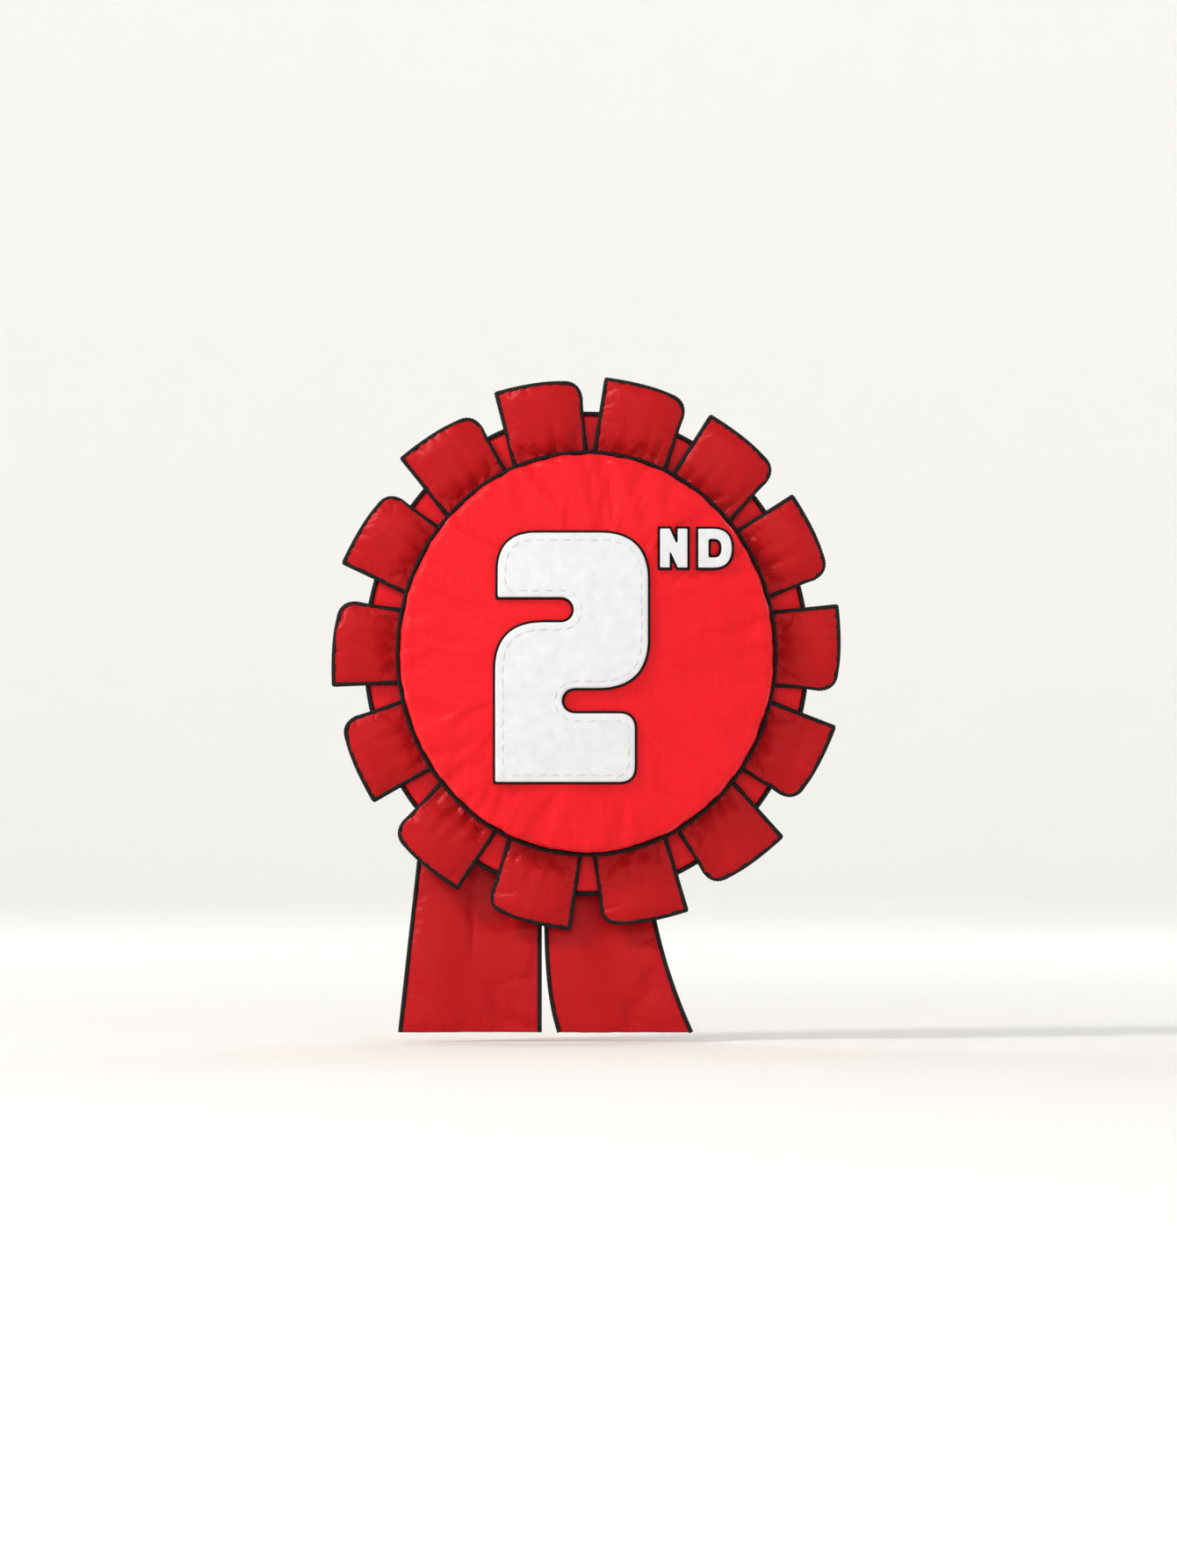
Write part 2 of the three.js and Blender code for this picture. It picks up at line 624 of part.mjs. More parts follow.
function buildCatch() {
  const bore = CATCH_RADIUS - CATCH_WALL;
  const pipe = alongStem(ringProfile(bore, CATCH_RADIUS, CATCH_START, CATCH_END), 24);
  const open = catchBox(2 * CATCH_RADIUS, -2 * CATCH_RADIUS, -CATCH_MOUTH, 1);
  const plateRear = PIN_HEIGHT - GAP - PIN_PLATE;
  const foot = catchBox(CATCH_FOOT_HALF, CATCH_RADIUS - 0.4, plateRear - GAP);
  addPiece("catch_housing", joined(cut(pipe, open), foot), NICKEL, 1);

  const sleeve = alongStem(ringProfile(SLEEVE_BORE, SLEEVE_RADIUS, CATCH_START, CATCH_END), 24);
  const slot = catchBox(SLEEVE_SLOT_HALF, -2 * SLEEVE_RADIUS, 0, 1);
  const lever = new THREE.BoxGeometry(LEVER_WIDTH, LEVER_THICKNESS, LEVER_LENGTH);
  lever.translate((CATCH_START + CATCH_END) / 2, 0, -LEVER_MIDDLE).rotateX(-Math.PI / 4);
  lever.translate(0, PIN_Y, -PIN_HEIGHT);
  addPiece("catch_sleeve", joined(cut(sleeve, slot), lever), NICKEL, 1);
}

function buildPinStem() {
  const eye = turned(ringProfile(RIVET_RADIUS + GAP, EYE_RADIUS, -EYE_HALF, EYE_HALF), 1, 20);
  eye.rotateX(Math.PI / 2).translate(PIN_HINGE_X, PIN_Y, -PIN_HEIGHT);
  const start = PIN_HINGE_X + (RIVET_RADIUS + GAP + EYE_RADIUS) / 2;
  const wire = alongStem(
    [
      [0, start],
      [PIN_WIRE_RADIUS, start],
      [PIN_WIRE_RADIUS, STEM_SHOULDER],
      [STEM_TIP_RADIUS, STEM_TIP],
      [0, STEM_TIP],
    ],
    12,
  );
  addPiece("pin_stem", joined(eye, wire), NICKEL, 1);
}

function buildRivet() {
  const headStart = EAR_INNER + EAR_THICKNESS + GAP;
  const headEnd = headStart + RIVET_HEAD_THICKNESS;
  const profile = [
    [0, -headEnd],
    [RIVET_HEAD_RADIUS, -headEnd],
    [RIVET_HEAD_RADIUS, -headStart],
    [RIVET_RADIUS, -headStart],
    [RIVET_RADIUS, headStart],
    [RIVET_HEAD_RADIUS, headStart],
    [RIVET_HEAD_RADIUS, headEnd],
    [0, headEnd],
  ];
  const rivet = addPiece("pin_rivet", turned(profile, 1, 16).rotateX(Math.PI / 2), NICKEL, 1);
  rivet.position.set(PIN_HINGE_X, PIN_Y, -PIN_HEIGHT);
}

for (let i = 0; i < PETAL_COUNT; i += 1) {
  buildPetal(i);
}
buildUnderRibbon();
buildCards();
buildGluePads();
buildButton();
buildCharacters();
buildTail("left", LEFT_TAIL, LEFT_TAIL_Z, LEFT_STAPLE_X);
buildTail("right", RIGHT_TAIL, RIGHT_TAIL_Z, RIGHT_STAPLE_X);
buildStaple("left", LEFT_STAPLE_X, LEFT_STAPLE_Z);
buildStaple("right", RIGHT_STAPLE_X, RIGHT_STAPLE_Z);
buildPinBase();
buildPinStem();
buildRivet();
buildCatch();

// Stand the front view upright: its y becomes +Z, and its z comes forwards along -Y.
rosette.rotation.x = Math.PI / 2;

export default rosette;
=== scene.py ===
import json
import math
import random

import bmesh
import bpy
from bpy.props import FloatProperty, FloatVectorProperty, IntProperty, PointerProperty
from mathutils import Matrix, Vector, noise


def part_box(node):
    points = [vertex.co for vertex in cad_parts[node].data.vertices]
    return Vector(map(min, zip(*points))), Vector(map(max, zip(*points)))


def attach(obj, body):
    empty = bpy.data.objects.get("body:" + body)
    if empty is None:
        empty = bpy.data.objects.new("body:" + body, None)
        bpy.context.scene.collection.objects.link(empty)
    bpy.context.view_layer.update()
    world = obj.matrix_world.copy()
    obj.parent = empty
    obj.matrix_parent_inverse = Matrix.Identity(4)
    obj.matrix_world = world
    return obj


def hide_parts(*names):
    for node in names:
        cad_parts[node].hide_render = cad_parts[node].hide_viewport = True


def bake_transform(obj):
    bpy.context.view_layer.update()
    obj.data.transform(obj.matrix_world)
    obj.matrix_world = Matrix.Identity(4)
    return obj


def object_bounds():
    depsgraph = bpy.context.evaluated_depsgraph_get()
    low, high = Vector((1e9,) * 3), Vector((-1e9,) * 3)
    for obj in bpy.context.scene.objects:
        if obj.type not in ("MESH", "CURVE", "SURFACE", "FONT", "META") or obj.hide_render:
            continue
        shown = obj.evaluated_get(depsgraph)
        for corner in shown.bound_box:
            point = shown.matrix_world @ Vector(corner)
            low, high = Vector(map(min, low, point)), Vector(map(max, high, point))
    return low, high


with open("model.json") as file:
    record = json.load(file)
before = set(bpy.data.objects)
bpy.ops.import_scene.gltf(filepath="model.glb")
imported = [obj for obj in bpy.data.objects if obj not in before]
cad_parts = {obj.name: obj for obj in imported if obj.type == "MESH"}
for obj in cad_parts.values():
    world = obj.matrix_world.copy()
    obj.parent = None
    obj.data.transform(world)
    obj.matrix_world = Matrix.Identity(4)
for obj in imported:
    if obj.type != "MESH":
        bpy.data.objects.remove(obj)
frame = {"record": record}
CAD_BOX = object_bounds()

bl_info = {
    "name": "Award Rosette",
    "version": (1, 0, 0),
    "blender": (4, 5, 0),
    "location": "View3D > Sidebar > Rosette",
    "description": "Makes the cloth, cord, card and metal of a second-place award rosette",
    "category": "Add Mesh",
}

MM = 0.001
CREASE = math.radians(50)  # edges that turn by more than this are shaded as sharp
ROUND = math.radians(80)  # the same, on threads and cords
WEAVE = "Weave"  # the UV map of a woven piece: millimetres across and along its threads
TURN = 2 * math.pi

# Every piece is drawn as it is seen from the front: x to the right, up, and out, the height in
# front of the back card's rear face.


def front(x, up, out):
    """The place in the row frame of a point that is given as seen from the front."""
    return Vector((x, -out, up))


def layer(node):
    """(rear, front) of a CAD node, as heights in front of the back card's rear face."""
    low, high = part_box(node)
    return -high.y, -low.y


def half_size(node):
    """(half the width, half the height) of a CAD node."""
    low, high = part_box(node)
    return (high.x - low.x) / 2, (high.z - low.z) / 2


def hinge(name):
    """The place of a joint's axis."""
    return Vector(next(j["pos_m"] for j in frame["record"]["behaviour"]["joints"] if j["name"] == name))


BUTTON_REAR, BUTTON_FRONT = layer("button_cover")
COVER_HALF = half_size("button_cover")
BUTTON_OVAL = COVER_HALF[1] / COVER_HALF[0]
PIPING_HALF = half_size("button_piping")
PIPING_REAR, PIPING_FRONT = layer("button_piping")
UNDER_HALF = half_size("under_ribbon_edging")
RIBBON_OVAL = UNDER_HALF[1] / UNDER_HALF[0]
UNDER_REAR, UNDER_FRONT = layer("under_ribbon")
PETAL_REAR, PETAL_FRONT = layer("petal_edging_01")


def hex_colour(code):
    """A linear colour from an sRGB hex value."""
    channels = [int(code[i : i + 2], 16) / 255 for i in (1, 3, 5)]
    return [c / 12.92 if c <= 0.04045 else ((c + 0.055) / 1.055) ** 2.4 for c in channels]


def length(name, description, default):
    size = default * MM
    return FloatProperty(name=name, description=description, default=size, unit="LENGTH", precision=5)


def turning(name, description, degrees):
    angle = math.radians(degrees)
    return FloatProperty(name=name, description=description, default=angle, subtype="ANGLE")


def colour(name, description, code):
    return FloatVectorProperty(
        name=name, description=description, default=hex_colour(code), subtype="COLOR", min=0, max=1
    )


class RosetteSizes(bpy.types.PropertyGroup):
    """Sizes that a maker would change."""

    petal_count: IntProperty(name="Petals", description="Number of ribbon petals", default=14, min=3)
    petal_tip: length("Petal reach", "Half the whole width, at the middle of a petal's end", 50.3)
    petal_root: length("Petal root", "How far in the petals are tucked under the button", 36.9)
    petal_half_root: length("Petal half width, root", "Half a petal's width at the button", 7.7)
    petal_half_tip: length("Petal half width, tip", "Half a petal's width at its outer end", 8.65)
    petal_round: length("Petal corner", "Size of a petal's rounded corner", 3.2)
    petal_crown: length("Petal crown", "How far the middle of a petal's end stands out", 0.9)
    petal_arch: length("Petal arch", "Rise of a petal's middle above its edges", 0.9)
    spacing_oval: FloatProperty(
        name="Spacing oval",
        description="Height over width of the oval that spaces the petals",
        default=1.07,
    )
    hand_set_shift: turning("Hand-set turn", "How far the whole ring of petals is turned", -0.4)
    hand_set_drift: turning("Hand-set drift", "How far the petals crowd to one side", 2.0)
    hand_set_phase: turning("Hand-set phase", "Which side the petals crowd to", 20)
    edging_width: length("Edging width", "Width of the overlocked black edging", 1.05)
    edging_height: length("Edging height", "Thickness of the overlocked black edging", 1.15)
    wrap_pitch: length("Thread pitch", "Distance from one thread wrap of the edging to the next", 0.6)
    ribbon_thickness: length("Ribbon", "Thickness of one layer of satin ribbon", 0.28)
    button_crown: length("Button crown", "Rise of the button's face from its shoulder to its middle", 3.0)
    outline: length("Outline", "How far the black backing shows round a character", 0.5)
    tail_top: length("Tail top", "Height of the tails' stapled ends", -10)


class RosetteColours(bpy.types.PropertyGroup):
    """Colours of the ribbons, threads and cards."""

    dark_red: colour("Dark red", "Satin of the petals and the tails", "#B81419")
    bright_red: colour("Bright red", "Satin of the button and of the ring under the petals", "#ED1D26")
    black: colour("Black", "Edging thread, piping cord and backing felt", "#0C0B0C")
    pale_grey: colour("Pale grey", "Felt of the numeral and letters", "#E6E8EA")
    greyboard: colour("Greyboard", "Both cards and the button's back plate", "#B9B2A6")
    nickel: colour("Nickel", "Nickel plate of the pin and the staples", "#C9CACB")
    floor: colour("Floor", "Pale paper that the rosette is shown on", "#EFEEEC")


# ---------------------------------------------------------------------------------------------
# Materials


def add(tree, kind, inputs=None, **properties):
    """Adds a shader node, sets its properties, and sets or links its inputs."""
    made = tree.nodes.new("ShaderNode" + kind)
    for key, value in properties.items():
        setattr(made, key, value)
    for key, value in (inputs or {}).items():
        if isinstance(value, bpy.types.NodeSocket):
            tree.links.new(value, made.inputs[key])
        else:
            made.inputs[key].default_value = value
    return made


def noise_value(tree, place, scale, detail, **more):
    inputs = {"Vector": place, "Scale": scale, "Detail": detail}
    inputs.update({key.title(): value for key, value in more.items()})
    return add(tree, "TexNoise", inputs).outputs["Fac"]


def stretched(tree, place, scale):
    return add(tree, "Mapping", {"Vector": place, "Scale": scale}).outputs["Vector"]


def summed(tree, a, b, operation="ADD"):
    return add(tree, "Math", {0: a, 1: b}, operation=operation).outputs[0]


def ranged(tree, value, low=0.0, high=1.0, start=0.0, end=1.0):
    """A value that is spread from start..end to low..high."""
    inputs = {"Value": value, "From Min": start, "From Max": end, "To Min": low, "To Max": high}
    return add(tree, "MapRange", inputs).outputs[0]


def mixed(tree, share, a, b, **properties):
    """The colour at a share of the way from one colour to another."""
    made = add(tree, "Mix", {"Factor": share, "A": a, "B": b}, data_type="RGBA", **properties)
    return made.outputs["Result"]


def bumped(tree, height, strength, depth):
    """The surface's relief. The depth is in mm."""
    return add(tree, "Bump", {"Height": height, "Strength": strength, "Distance": depth * MM}).outputs[0]


def surface(tree, **inputs):
    """Adds the shader and the output, from inputs named as in Python: base_color is Base Color."""
    named = {key.replace("_", " ").title().replace("Ior", "IOR"): value for key, value in inputs.items()}
    shader = add(tree, "BsdfPrincipled", named)
    add(tree, "OutputMaterial", {"Surface": shader.outputs["BSDF"]})


def rgba(colour_value, share=1.0):
    return (*[min(1.0, c * share) for c in colour_value], 1.0)


def made_once(draw):
    """Turns a function that draws a material's nodes into one that takes the material's name, too, and
    gives the material that already has this name, or a new one."""

    def by_name(name, *values):
        made = bpy.data.materials.get(name)
        if made is None:
            made = bpy.data.materials.new(name)
            made.use_nodes = True
            made.node_tree.nodes.clear()
            place = add(made.node_tree, "TexCoord").outputs["Object"]
            draw(made.node_tree, place, *values)
        return made

    return by_name


@made_once
def woven_satin(tree, _, thread_colour, seed):
    """Polyester satin ribbon: long warp floats lie side by side, so light runs along the threads in soft
    lengthwise bands. Faint lengthwise bands of painted sheen lighten and darken the colour, over a
    broad random variation of tone. Real threads are 0.1 mm apart; they are drawn 0.4 mm apart so
    that they show."""
    across_mm = add(tree, "UVMap", uv_map=WEAVE).outputs["UV"]
    place = add(tree, "Mapping", {"Vector": across_mm, "Location": (seed, seed * 2, 0)}).outputs["Vector"]
    rows = {"Vector": place, "Scale": 1 / (0.4 * 20) * TURN, "Distortion": 0.35}
    rows.update({"Detail": 1.0, "Detail Scale": 0.6})
    threads = add(tree, "TexWave", rows, bands_direction="X").outputs["Fac"]
    floats = noise_value(tree, stretched(tree, place, (2.6, 0.32, 1)), 1.0, 4.0, roughness=0.6)
    # painted sheen: noise stretched along the threads, in bands that make the base colour lighter and
    # darker
    sheen_streaks = noise_value(tree, stretched(tree, place, (0.8, 0.035, 1)), 1.0, 3.0)
    # the colour's tone: the painted sheen bands plus a broad random variation of tone
    tone = summed(tree, sheen_streaks, noise_value(tree, place, 0.05, 2.0))
    shade = ranged(tree, tone, start=0.65, end=1.35)
    body = mixed(tree, shade, rgba(thread_colour, 0.95), rgba(thread_colour, 1.06))
    seam = ranged(tree, threads, 0.88, 1.04)
    dyed = [0.2 + 0.8 * c / max(thread_colour) for c in thread_colour]
    surface(
        tree,
        base_color=mixed(tree, 1.0, body, seam, blend_type="MULTIPLY"),
        roughness=ranged(tree, floats, 0.24, 0.42),
        specular_ior_level=0.5,
        specular_tint=rgba(dyed),
        anisotropic=0.6,
        anisotropic_rotation=0.25,
        normal=bumped(tree, summed(tree, threads, floats), 0.42, 0.03),
        tangent=add(tree, "Tangent", direction_type="UV_MAP", uv_map=WEAVE).outputs[0],
    )


@made_once
def wound_thread(tree, place, thread_colour):
    """Black polyester overlock thread or cord: matt, with fine fibres that catch a little light. Fibres
    are about 0.02 mm thick; they are drawn about 0.15 mm apart."""
    fibres = noise_value(tree, place, 1 / (0.15 * MM), 3.0, roughness=0.65)
    tone = summed(tree, fibres, noise_value(tree, place, 1 / (9 * MM), 2.0), "MULTIPLY")
    surface(
        tree,
        base_color=mixed(tree, tone, rgba(thread_colour, 0.8), rgba(thread_colour, 1.6)),
        roughness=ranged(tree, fibres, 0.5, 0.75),
        specular_ior_level=0.25,
        normal=bumped(tree, fibres, 0.4, 0.05),
    )


@made_once
def needled_felt(tree, place, wool_colour):
    """Needled felt: a matt mat of curled fibres, faintly mottled, with a soft fuzzy rim to the light. Its
    fibres are 0.03 mm thick; they are drawn as curls about 0.25 mm across."""
    curls = noise_value(tree, place, 1 / (0.25 * MM), 5.0, roughness=0.7, distortion=1.6)
    tone = summed(tree, curls, noise_value(tree, place, 1 / (2.5 * MM), 3.0))
    shade = ranged(tree, tone, start=0.7, end=1.3)
    surface(
        tree,
        base_color=mixed(tree, shade, rgba(wool_colour, 0.92), rgba(wool_colour, 1.05)),
        roughness=0.92,
        specular_ior_level=0.25,
        normal=bumped(tree, curls, 0.6, 0.08),
    )


@made_once
def recycled_board(tree, place, board_colour):
    """Grey recycled board: flat and matt, flecked with darker and lighter paper fibres."""
    cells = {"Vector": place, "Scale": 1 / (1.4 * MM), "Randomness": 1.0}
    flecks = add(tree, "TexVoronoi", cells).outputs["Distance"]
    fibres = noise_value(tree, place, 1 / (0.6 * MM), 6.0, roughness=0.7)
    body = mixed(tree, fibres, rgba(board_colour, 0.84), rgba(board_colour, 1.14))
    unflecked = ranged(tree, flecks, start=0.05, end=0.16)
    surface(
        tree,
        base_color=mixed(tree, unflecked, rgba(board_colour, 0.62), body),
        roughness=0.88,
        specular_ior_level=0.3,
        normal=bumped(tree, fibres, 0.35, 0.06),
    )


@made_once
def plated_steel(tree, place, plate_colour, gloss_low=0.16, gloss_high=0.3):
    """Nickel-plated steel, stamped and barrel-plated: bright, with faint tumbling marks and a slightly
    uneven gloss."""
    marks = noise_value(tree, place, 1 / (0.7 * MM), 4.0, roughness=0.6)
    cloud = noise_value(tree, place, 1 / (4 * MM), 2.0)
    surface(
        tree,
        base_color=mixed(tree, cloud, rgba(plate_colour, 0.82), rgba(plate_colour, 1.05)),
        metallic=1.0,
        roughness=ranged(tree, marks, gloss_low, gloss_high),
        normal=bumped(tree, marks, 0.12, 0.02),
    )


@made_once
def wadding_fibre(tree, place):
    """Polyester wadding: white, matt and cloudy, with a loose fibrous surface."""
    fibres = noise_value(tree, place, 1 / (0.8 * MM), 6.0, roughness=0.75, distortion=2.0)
    white = hex_colour("#F1EFE9")
    surface(
        tree,
        base_color=mixed(tree, fibres, rgba(white, 0.8), rgba(white)),
        roughness=0.95,
        sheen_weight=0.3,
        normal=bumped(tree, fibres, 0.8, 0.2),
    )


@made_once
def set_glue(tree, place):
    """Set hot-melt glue: milky amber, smooth and half clear, with small flow marks."""
    flow = noise_value(tree, place, 1 / (5 * MM), 2.0, distortion=0.6)
    amber = hex_colour("#D9C9A0")
    surface(
        tree,
        base_color=mixed(tree, flow, rgba(amber, 0.85), rgba(amber, 1.1)),
        roughness=0.32,
        subsurface_weight=0.2,
        subsurface_scale=1.5 * MM,
        normal=bumped(tree, flow, 0.5, 0.3),
    )


@made_once
def seamless_paper(tree, place, floor_colour):
    """Pale seamless studio paper: matt, with the faintest tooth."""
    tooth = noise_value(tree, place, 1 / (3 * MM), 3.0)
    surface(
        tree,
        base_color=mixed(tree, tooth, rgba(floor_colour, 0.98), rgba(floor_colour)),
        roughness=0.9,
        specular_ior_level=0.2,
    )


def dark_satin():
    return woven_satin("Dark red woven satin", bpy.context.scene.rosette_colours.dark_red, 3.1)


def bright_satin():
    return woven_satin("Bright red woven satin", bpy.context.scene.rosette_colours.bright_red, 7.7)


def black_thread():
    return wound_thread("Black overlock thread", bpy.context.scene.rosette_colours.black)


def greyboard():
    return recycled_board("Recycled greyboard", bpy.context.scene.rosette_colours.greyboard)


def nickel_plate():
    return plated_steel("Nickel-plated steel", bpy.context.scene.rosette_colours.nickel)


def glue():
    return set_glue("Hot-melt glue")


# ---------------------------------------------------------------------------------------------
# Making meshes


def new_piece(
    name, points, faces, body, material, nodes=(), uvs=None, sharp=CREASE, place=front
):
    """A piece from points seen from the front. uvs gives each point's place in the weave, in metres."""
    mesh = bpy.data.meshes.new(name)
    mesh.from_pydata([place(*p) for p in points], [], faces)
    if uvs is not None:
        weave = mesh.uv_layers.new(name=WEAVE)
        for loop in mesh.loops:
            u, v = uvs[loop.vertex_index]
            weave.data[loop.index].uv = (u / MM, v / MM)
    mesh.validate()
    mesh.shade_smooth()
    mesh.set_sharp_from_angle(angle=sharp)
    mesh.materials.append(material)
    piece = bpy.data.objects.new(name, mesh)
    bpy.context.scene.collection.objects.link(piece)
    if body:
        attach(piece, body)
    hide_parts(*nodes)
    return piece


def settle(piece):
    """Makes the result of a piece's modifiers its own mesh."""
    graph = bpy.context.evaluated_depsgraph_get()
    mesh = bpy.data.meshes.new_from_object(
        piece.evaluated_get(graph), preserve_all_data_layers=True, depsgraph=graph
    )
    piece.modifiers.clear()
    piece.data = mesh


def thicken(piece, thickness):
    """Gives a sheet its thickness, half to each side."""
    solidify = piece.modifiers.new("Thickness", "SOLIDIFY")
    solidify.thickness = thickness
    solidify.offset = 0
    settle(piece)


def grid_faces(rows, columns, wrap=False):
    """Quads between rows of points; wrap joins each row's last point to its first."""
    last = columns if wrap else columns - 1
    faces = []
    for low in [r * columns for r in range(rows - 1)]:
        high = low + columns
        for c in range(last):
            beside = (c + 1) % columns
            faces.append((low + c, low + beside, high + beside, high + c))
    return faces


def softened(profile, radius, steps=4):
    """A closed profile with each corner that isn't on the axis rounded off."""
    points = [Vector(p) for p in profile]
    result = []
    for i, corner in enumerate(points):
        before, after = points[i - 1], points[(i + 1) % len(points)]
        if corner.x < 1e-7:
            result.append(corner)
            continue
        cut = min(radius, (corner - before).length * 0.45, (after - corner).length * 0.45)
        start = corner + (before - corner).normalized() * cut
        end = corner + (after - corner).normalized() * cut
        result += [bezier(start, corner, end, k / steps) for k in range(steps + 1)]
    return result


def disc_profile(radius, rear, face, edge):
    """The profile of a flat disc with softened edges."""
    return softened([(0, rear), (radius, rear), (radius, face), (0, face)], edge)


def bezier(a, b, c, t):
    """A point of the curve that goes from a to c and is drawn towards b."""
    return a.lerp(b, t).lerp(b.lerp(c, t), t)


def smoothstep(low, high, value):
    share = min(1.0, max(0.0, (value - low) / (high - low)))
    return share * share * (3 - 2 * share)


def oval_turned(
    name,
    profile,
    material,
    slot,
    node,
    oval=BUTTON_OVAL,
    steps=256,
    ruffle=None,
    uvs=False,
    body="rosette",
    place=front,
):
    """A round piece from a closed profile of (radius, out), stretched upwards into an oval. The profile
    runs outwards along the rear first. ruffle(angle, radius, out, distance along the profile from its
    middle) gives a small shift of (radius, out)."""
    rings, points, places, faces = [], [], [], []
    lengths = [0.0]
    for i in range(1, len(profile)):
        lengths.append(lengths[-1] + math.dist(profile[i], profile[i - 1]))
    middle = next((d for d, p in zip(lengths, profile) if p[0] < 1e-7), 0.0)
    for i, (radius, out) in enumerate(profile):
        from_middle = abs(lengths[i] - middle)
        on_axis = radius < 1e-7
        ring = []
        for k in range(1 if on_axis else steps):
            angle = TURN * k / steps
            shift, lift = ruffle(angle, radius, out, from_middle) if ruffle else (0.0, 0.0)
            reach = radius + shift
            points.append((reach * math.cos(angle), oval * reach * math.sin(angle), out + lift))
            ring.append(len(points) - 1)
            places.append((from_middle * math.cos(angle), oval * from_middle * math.sin(angle)))
        rings.append(ring)
    count = len(rings)
    for i in range(count):
        low, high = rings[i], rings[(i + 1) % count]
        if len(low) == 1 and len(high) == 1:
            continue
        for k in range(steps):
            n = (k + 1) % steps
            if len(low) == 1:
                faces.append((low[0], high[k], high[n])[::-1])
            elif len(high) == 1:
                faces.append((low[k], low[n], high[0]))
            else:
                faces.append((low[k], low[n], high[n], high[k]))
    return new_piece(
        name, points, faces, body, material, [node], places if uvs else None, place=place
    )


def resampled(path, step, closed=False):
    """Points at even steps along a polyline."""
    line = path + [path[0]] if closed else path
    lengths = [0.0]
    for a, b in zip(line, line[1:]):
        lengths.append(lengths[-1] + (b - a).length)
    count = max(2, round(lengths[-1] / step))
    result, i = [], 0
    for k in range(count if closed else count + 1):
        target = lengths[-1] * k / count
        while i < len(lengths) - 2 and lengths[i + 1] < target:
            i += 1
        span = max(lengths[i + 1] - lengths[i], 1e-12)
        result.append(line[i].lerp(line[i + 1], (target - lengths[i]) / span))
    return result, lengths[-1]


def swept(path, section, sides, closed=False, facing=Vector((0, 0, 1))):
    """Points and faces of a tube along a path that is nearly flat as seen along a direction. section(i,
    angle) gives the offset (sideways, towards that direction) of a point of ring i."""
    points, count = [], len(path)
    for i, middle in enumerate(path):
        before = path[i - 1] if closed or i > 0 else path[0]
        after = path[(i + 1) % count] if closed or i < count - 1 else path[-1]
        along = (after - before).normalized()
        side = along.cross(facing).normalized()
        rise = side.cross(along)
        for k in range(sides):
            sideways, out = section(i, TURN * k / sides)
            points.append(middle + side * sideways + rise * out)
    faces = grid_faces(count, sides, wrap=True)
    if closed:
        start = (count - 1) * sides
        faces += [(start + k, start + (k + 1) % sides, (k + 1) % sides, k) for k in range(sides)]
    else:
        faces += [tuple(range(sides))[::-1], tuple(range((count - 1) * sides, count * sides))]
    return points, faces


def overlocked(path, sizes, closed=False, width=None):
    """Points and faces of an overlocked edging: one thread wound closely round the ribbon's edge."""
    half_width = (width or sizes.edging_width) / 2
    half_height = sizes.edging_height / 2
    line, total = resampled(path, sizes.wrap_pitch / 6, closed)
    wraps = round(total / sizes.wrap_pitch)
    groove = 0.2
    squareness = 0.8

    def section(i, angle):
        turn = (wraps * i / len(line) + angle / TURN) % 1.0
        ridge = math.sqrt(max(0.0, 1 - (2 * turn - 1) ** 2))
        size = 1 - groove + groove * ridge
        c, s = math.cos(angle), math.sin(angle)
        return (
            half_width * size * math.copysign(abs(c) ** squareness, c),
            half_height * size * math.copysign(abs(s) ** squareness, s),
        )

    return swept(line, section, 12, closed)


def overlocked_piece(name, node, body, path, sizes, closed=False, width=None):
    """The overlocked edging along a path, as a piece."""
    points, faces = overlocked(path, sizes, closed, width)
    return new_piece(name, points, faces, body, black_thread(), [node], sharp=ROUND)


def shifted(points, by):
    """A closed outline moved sideways by a distance, to the left of its direction."""
    result = []
    for i, point in enumerate(points):
        before, after = points[i - 1], points[(i + 1) % len(points)]
        first = Vector((before.y - point.y, point.x - before.x)).normalized()
        second = Vector((point.y - after.y, after.x - point.x)).normalized()
        middle = (first + second).normalized()
        result.append(point + middle * (by / max(middle.dot(first), 0.3)))
    return result


def plate(name, outline, rear, face, edge, material, slot, node):
    """A flat plate with softened edges, from an outline that runs anticlockwise."""
    rows = [(edge, rear), (edge * 0.3, rear + edge * 0.3), (0, rear + edge)]
    rows += [(inset, rear + face - out) for inset, out in reversed(rows)]
    points = [(p.x, p.y, out) for inset, out in rows for p in shifted(outline, inset)]
    count = len(outline)
    faces = grid_faces(len(rows), count, wrap=True)
    faces += [tuple(range(count))[::-1], tuple(range((len(rows) - 1) * count, len(rows) * count))]
    return new_piece(name, points, faces, "rosette", material, [node])


def prism(name, loops, thickness):
    """A flat-faced block from an outline and its holes, in mm, from 0 to a thickness in metres."""
    shape = bmesh.new()
    edges = []
    for loop in loops:
        corners = [shape.verts.new((p[0] * MM, p[1] * MM, 0)) for p in loop]
        edges += [shape.edges.new((a, b)) for a, b in zip(corners, corners[1:] + corners[:1])]
    bmesh.ops.triangle_fill(shape, use_beauty=True, use_dissolve=False, edges=edges)
    raised = bmesh.ops.extrude_face_region(shape, geom=shape.faces[:])["geom"]
    top = [v for v in raised if isinstance(v, bmesh.types.BMVert)]
    bmesh.ops.translate(shape, verts=top, vec=(0, 0, thickness))
    bmesh.ops.recalc_face_normals(shape, faces=shape.faces)
    mesh = bpy.data.meshes.new(name)
    shape.to_mesh(mesh)
    shape.free()
    piece = bpy.data.objects.new(name, mesh)
    bpy.context.scene.collection.objects.link(piece)
    return piece


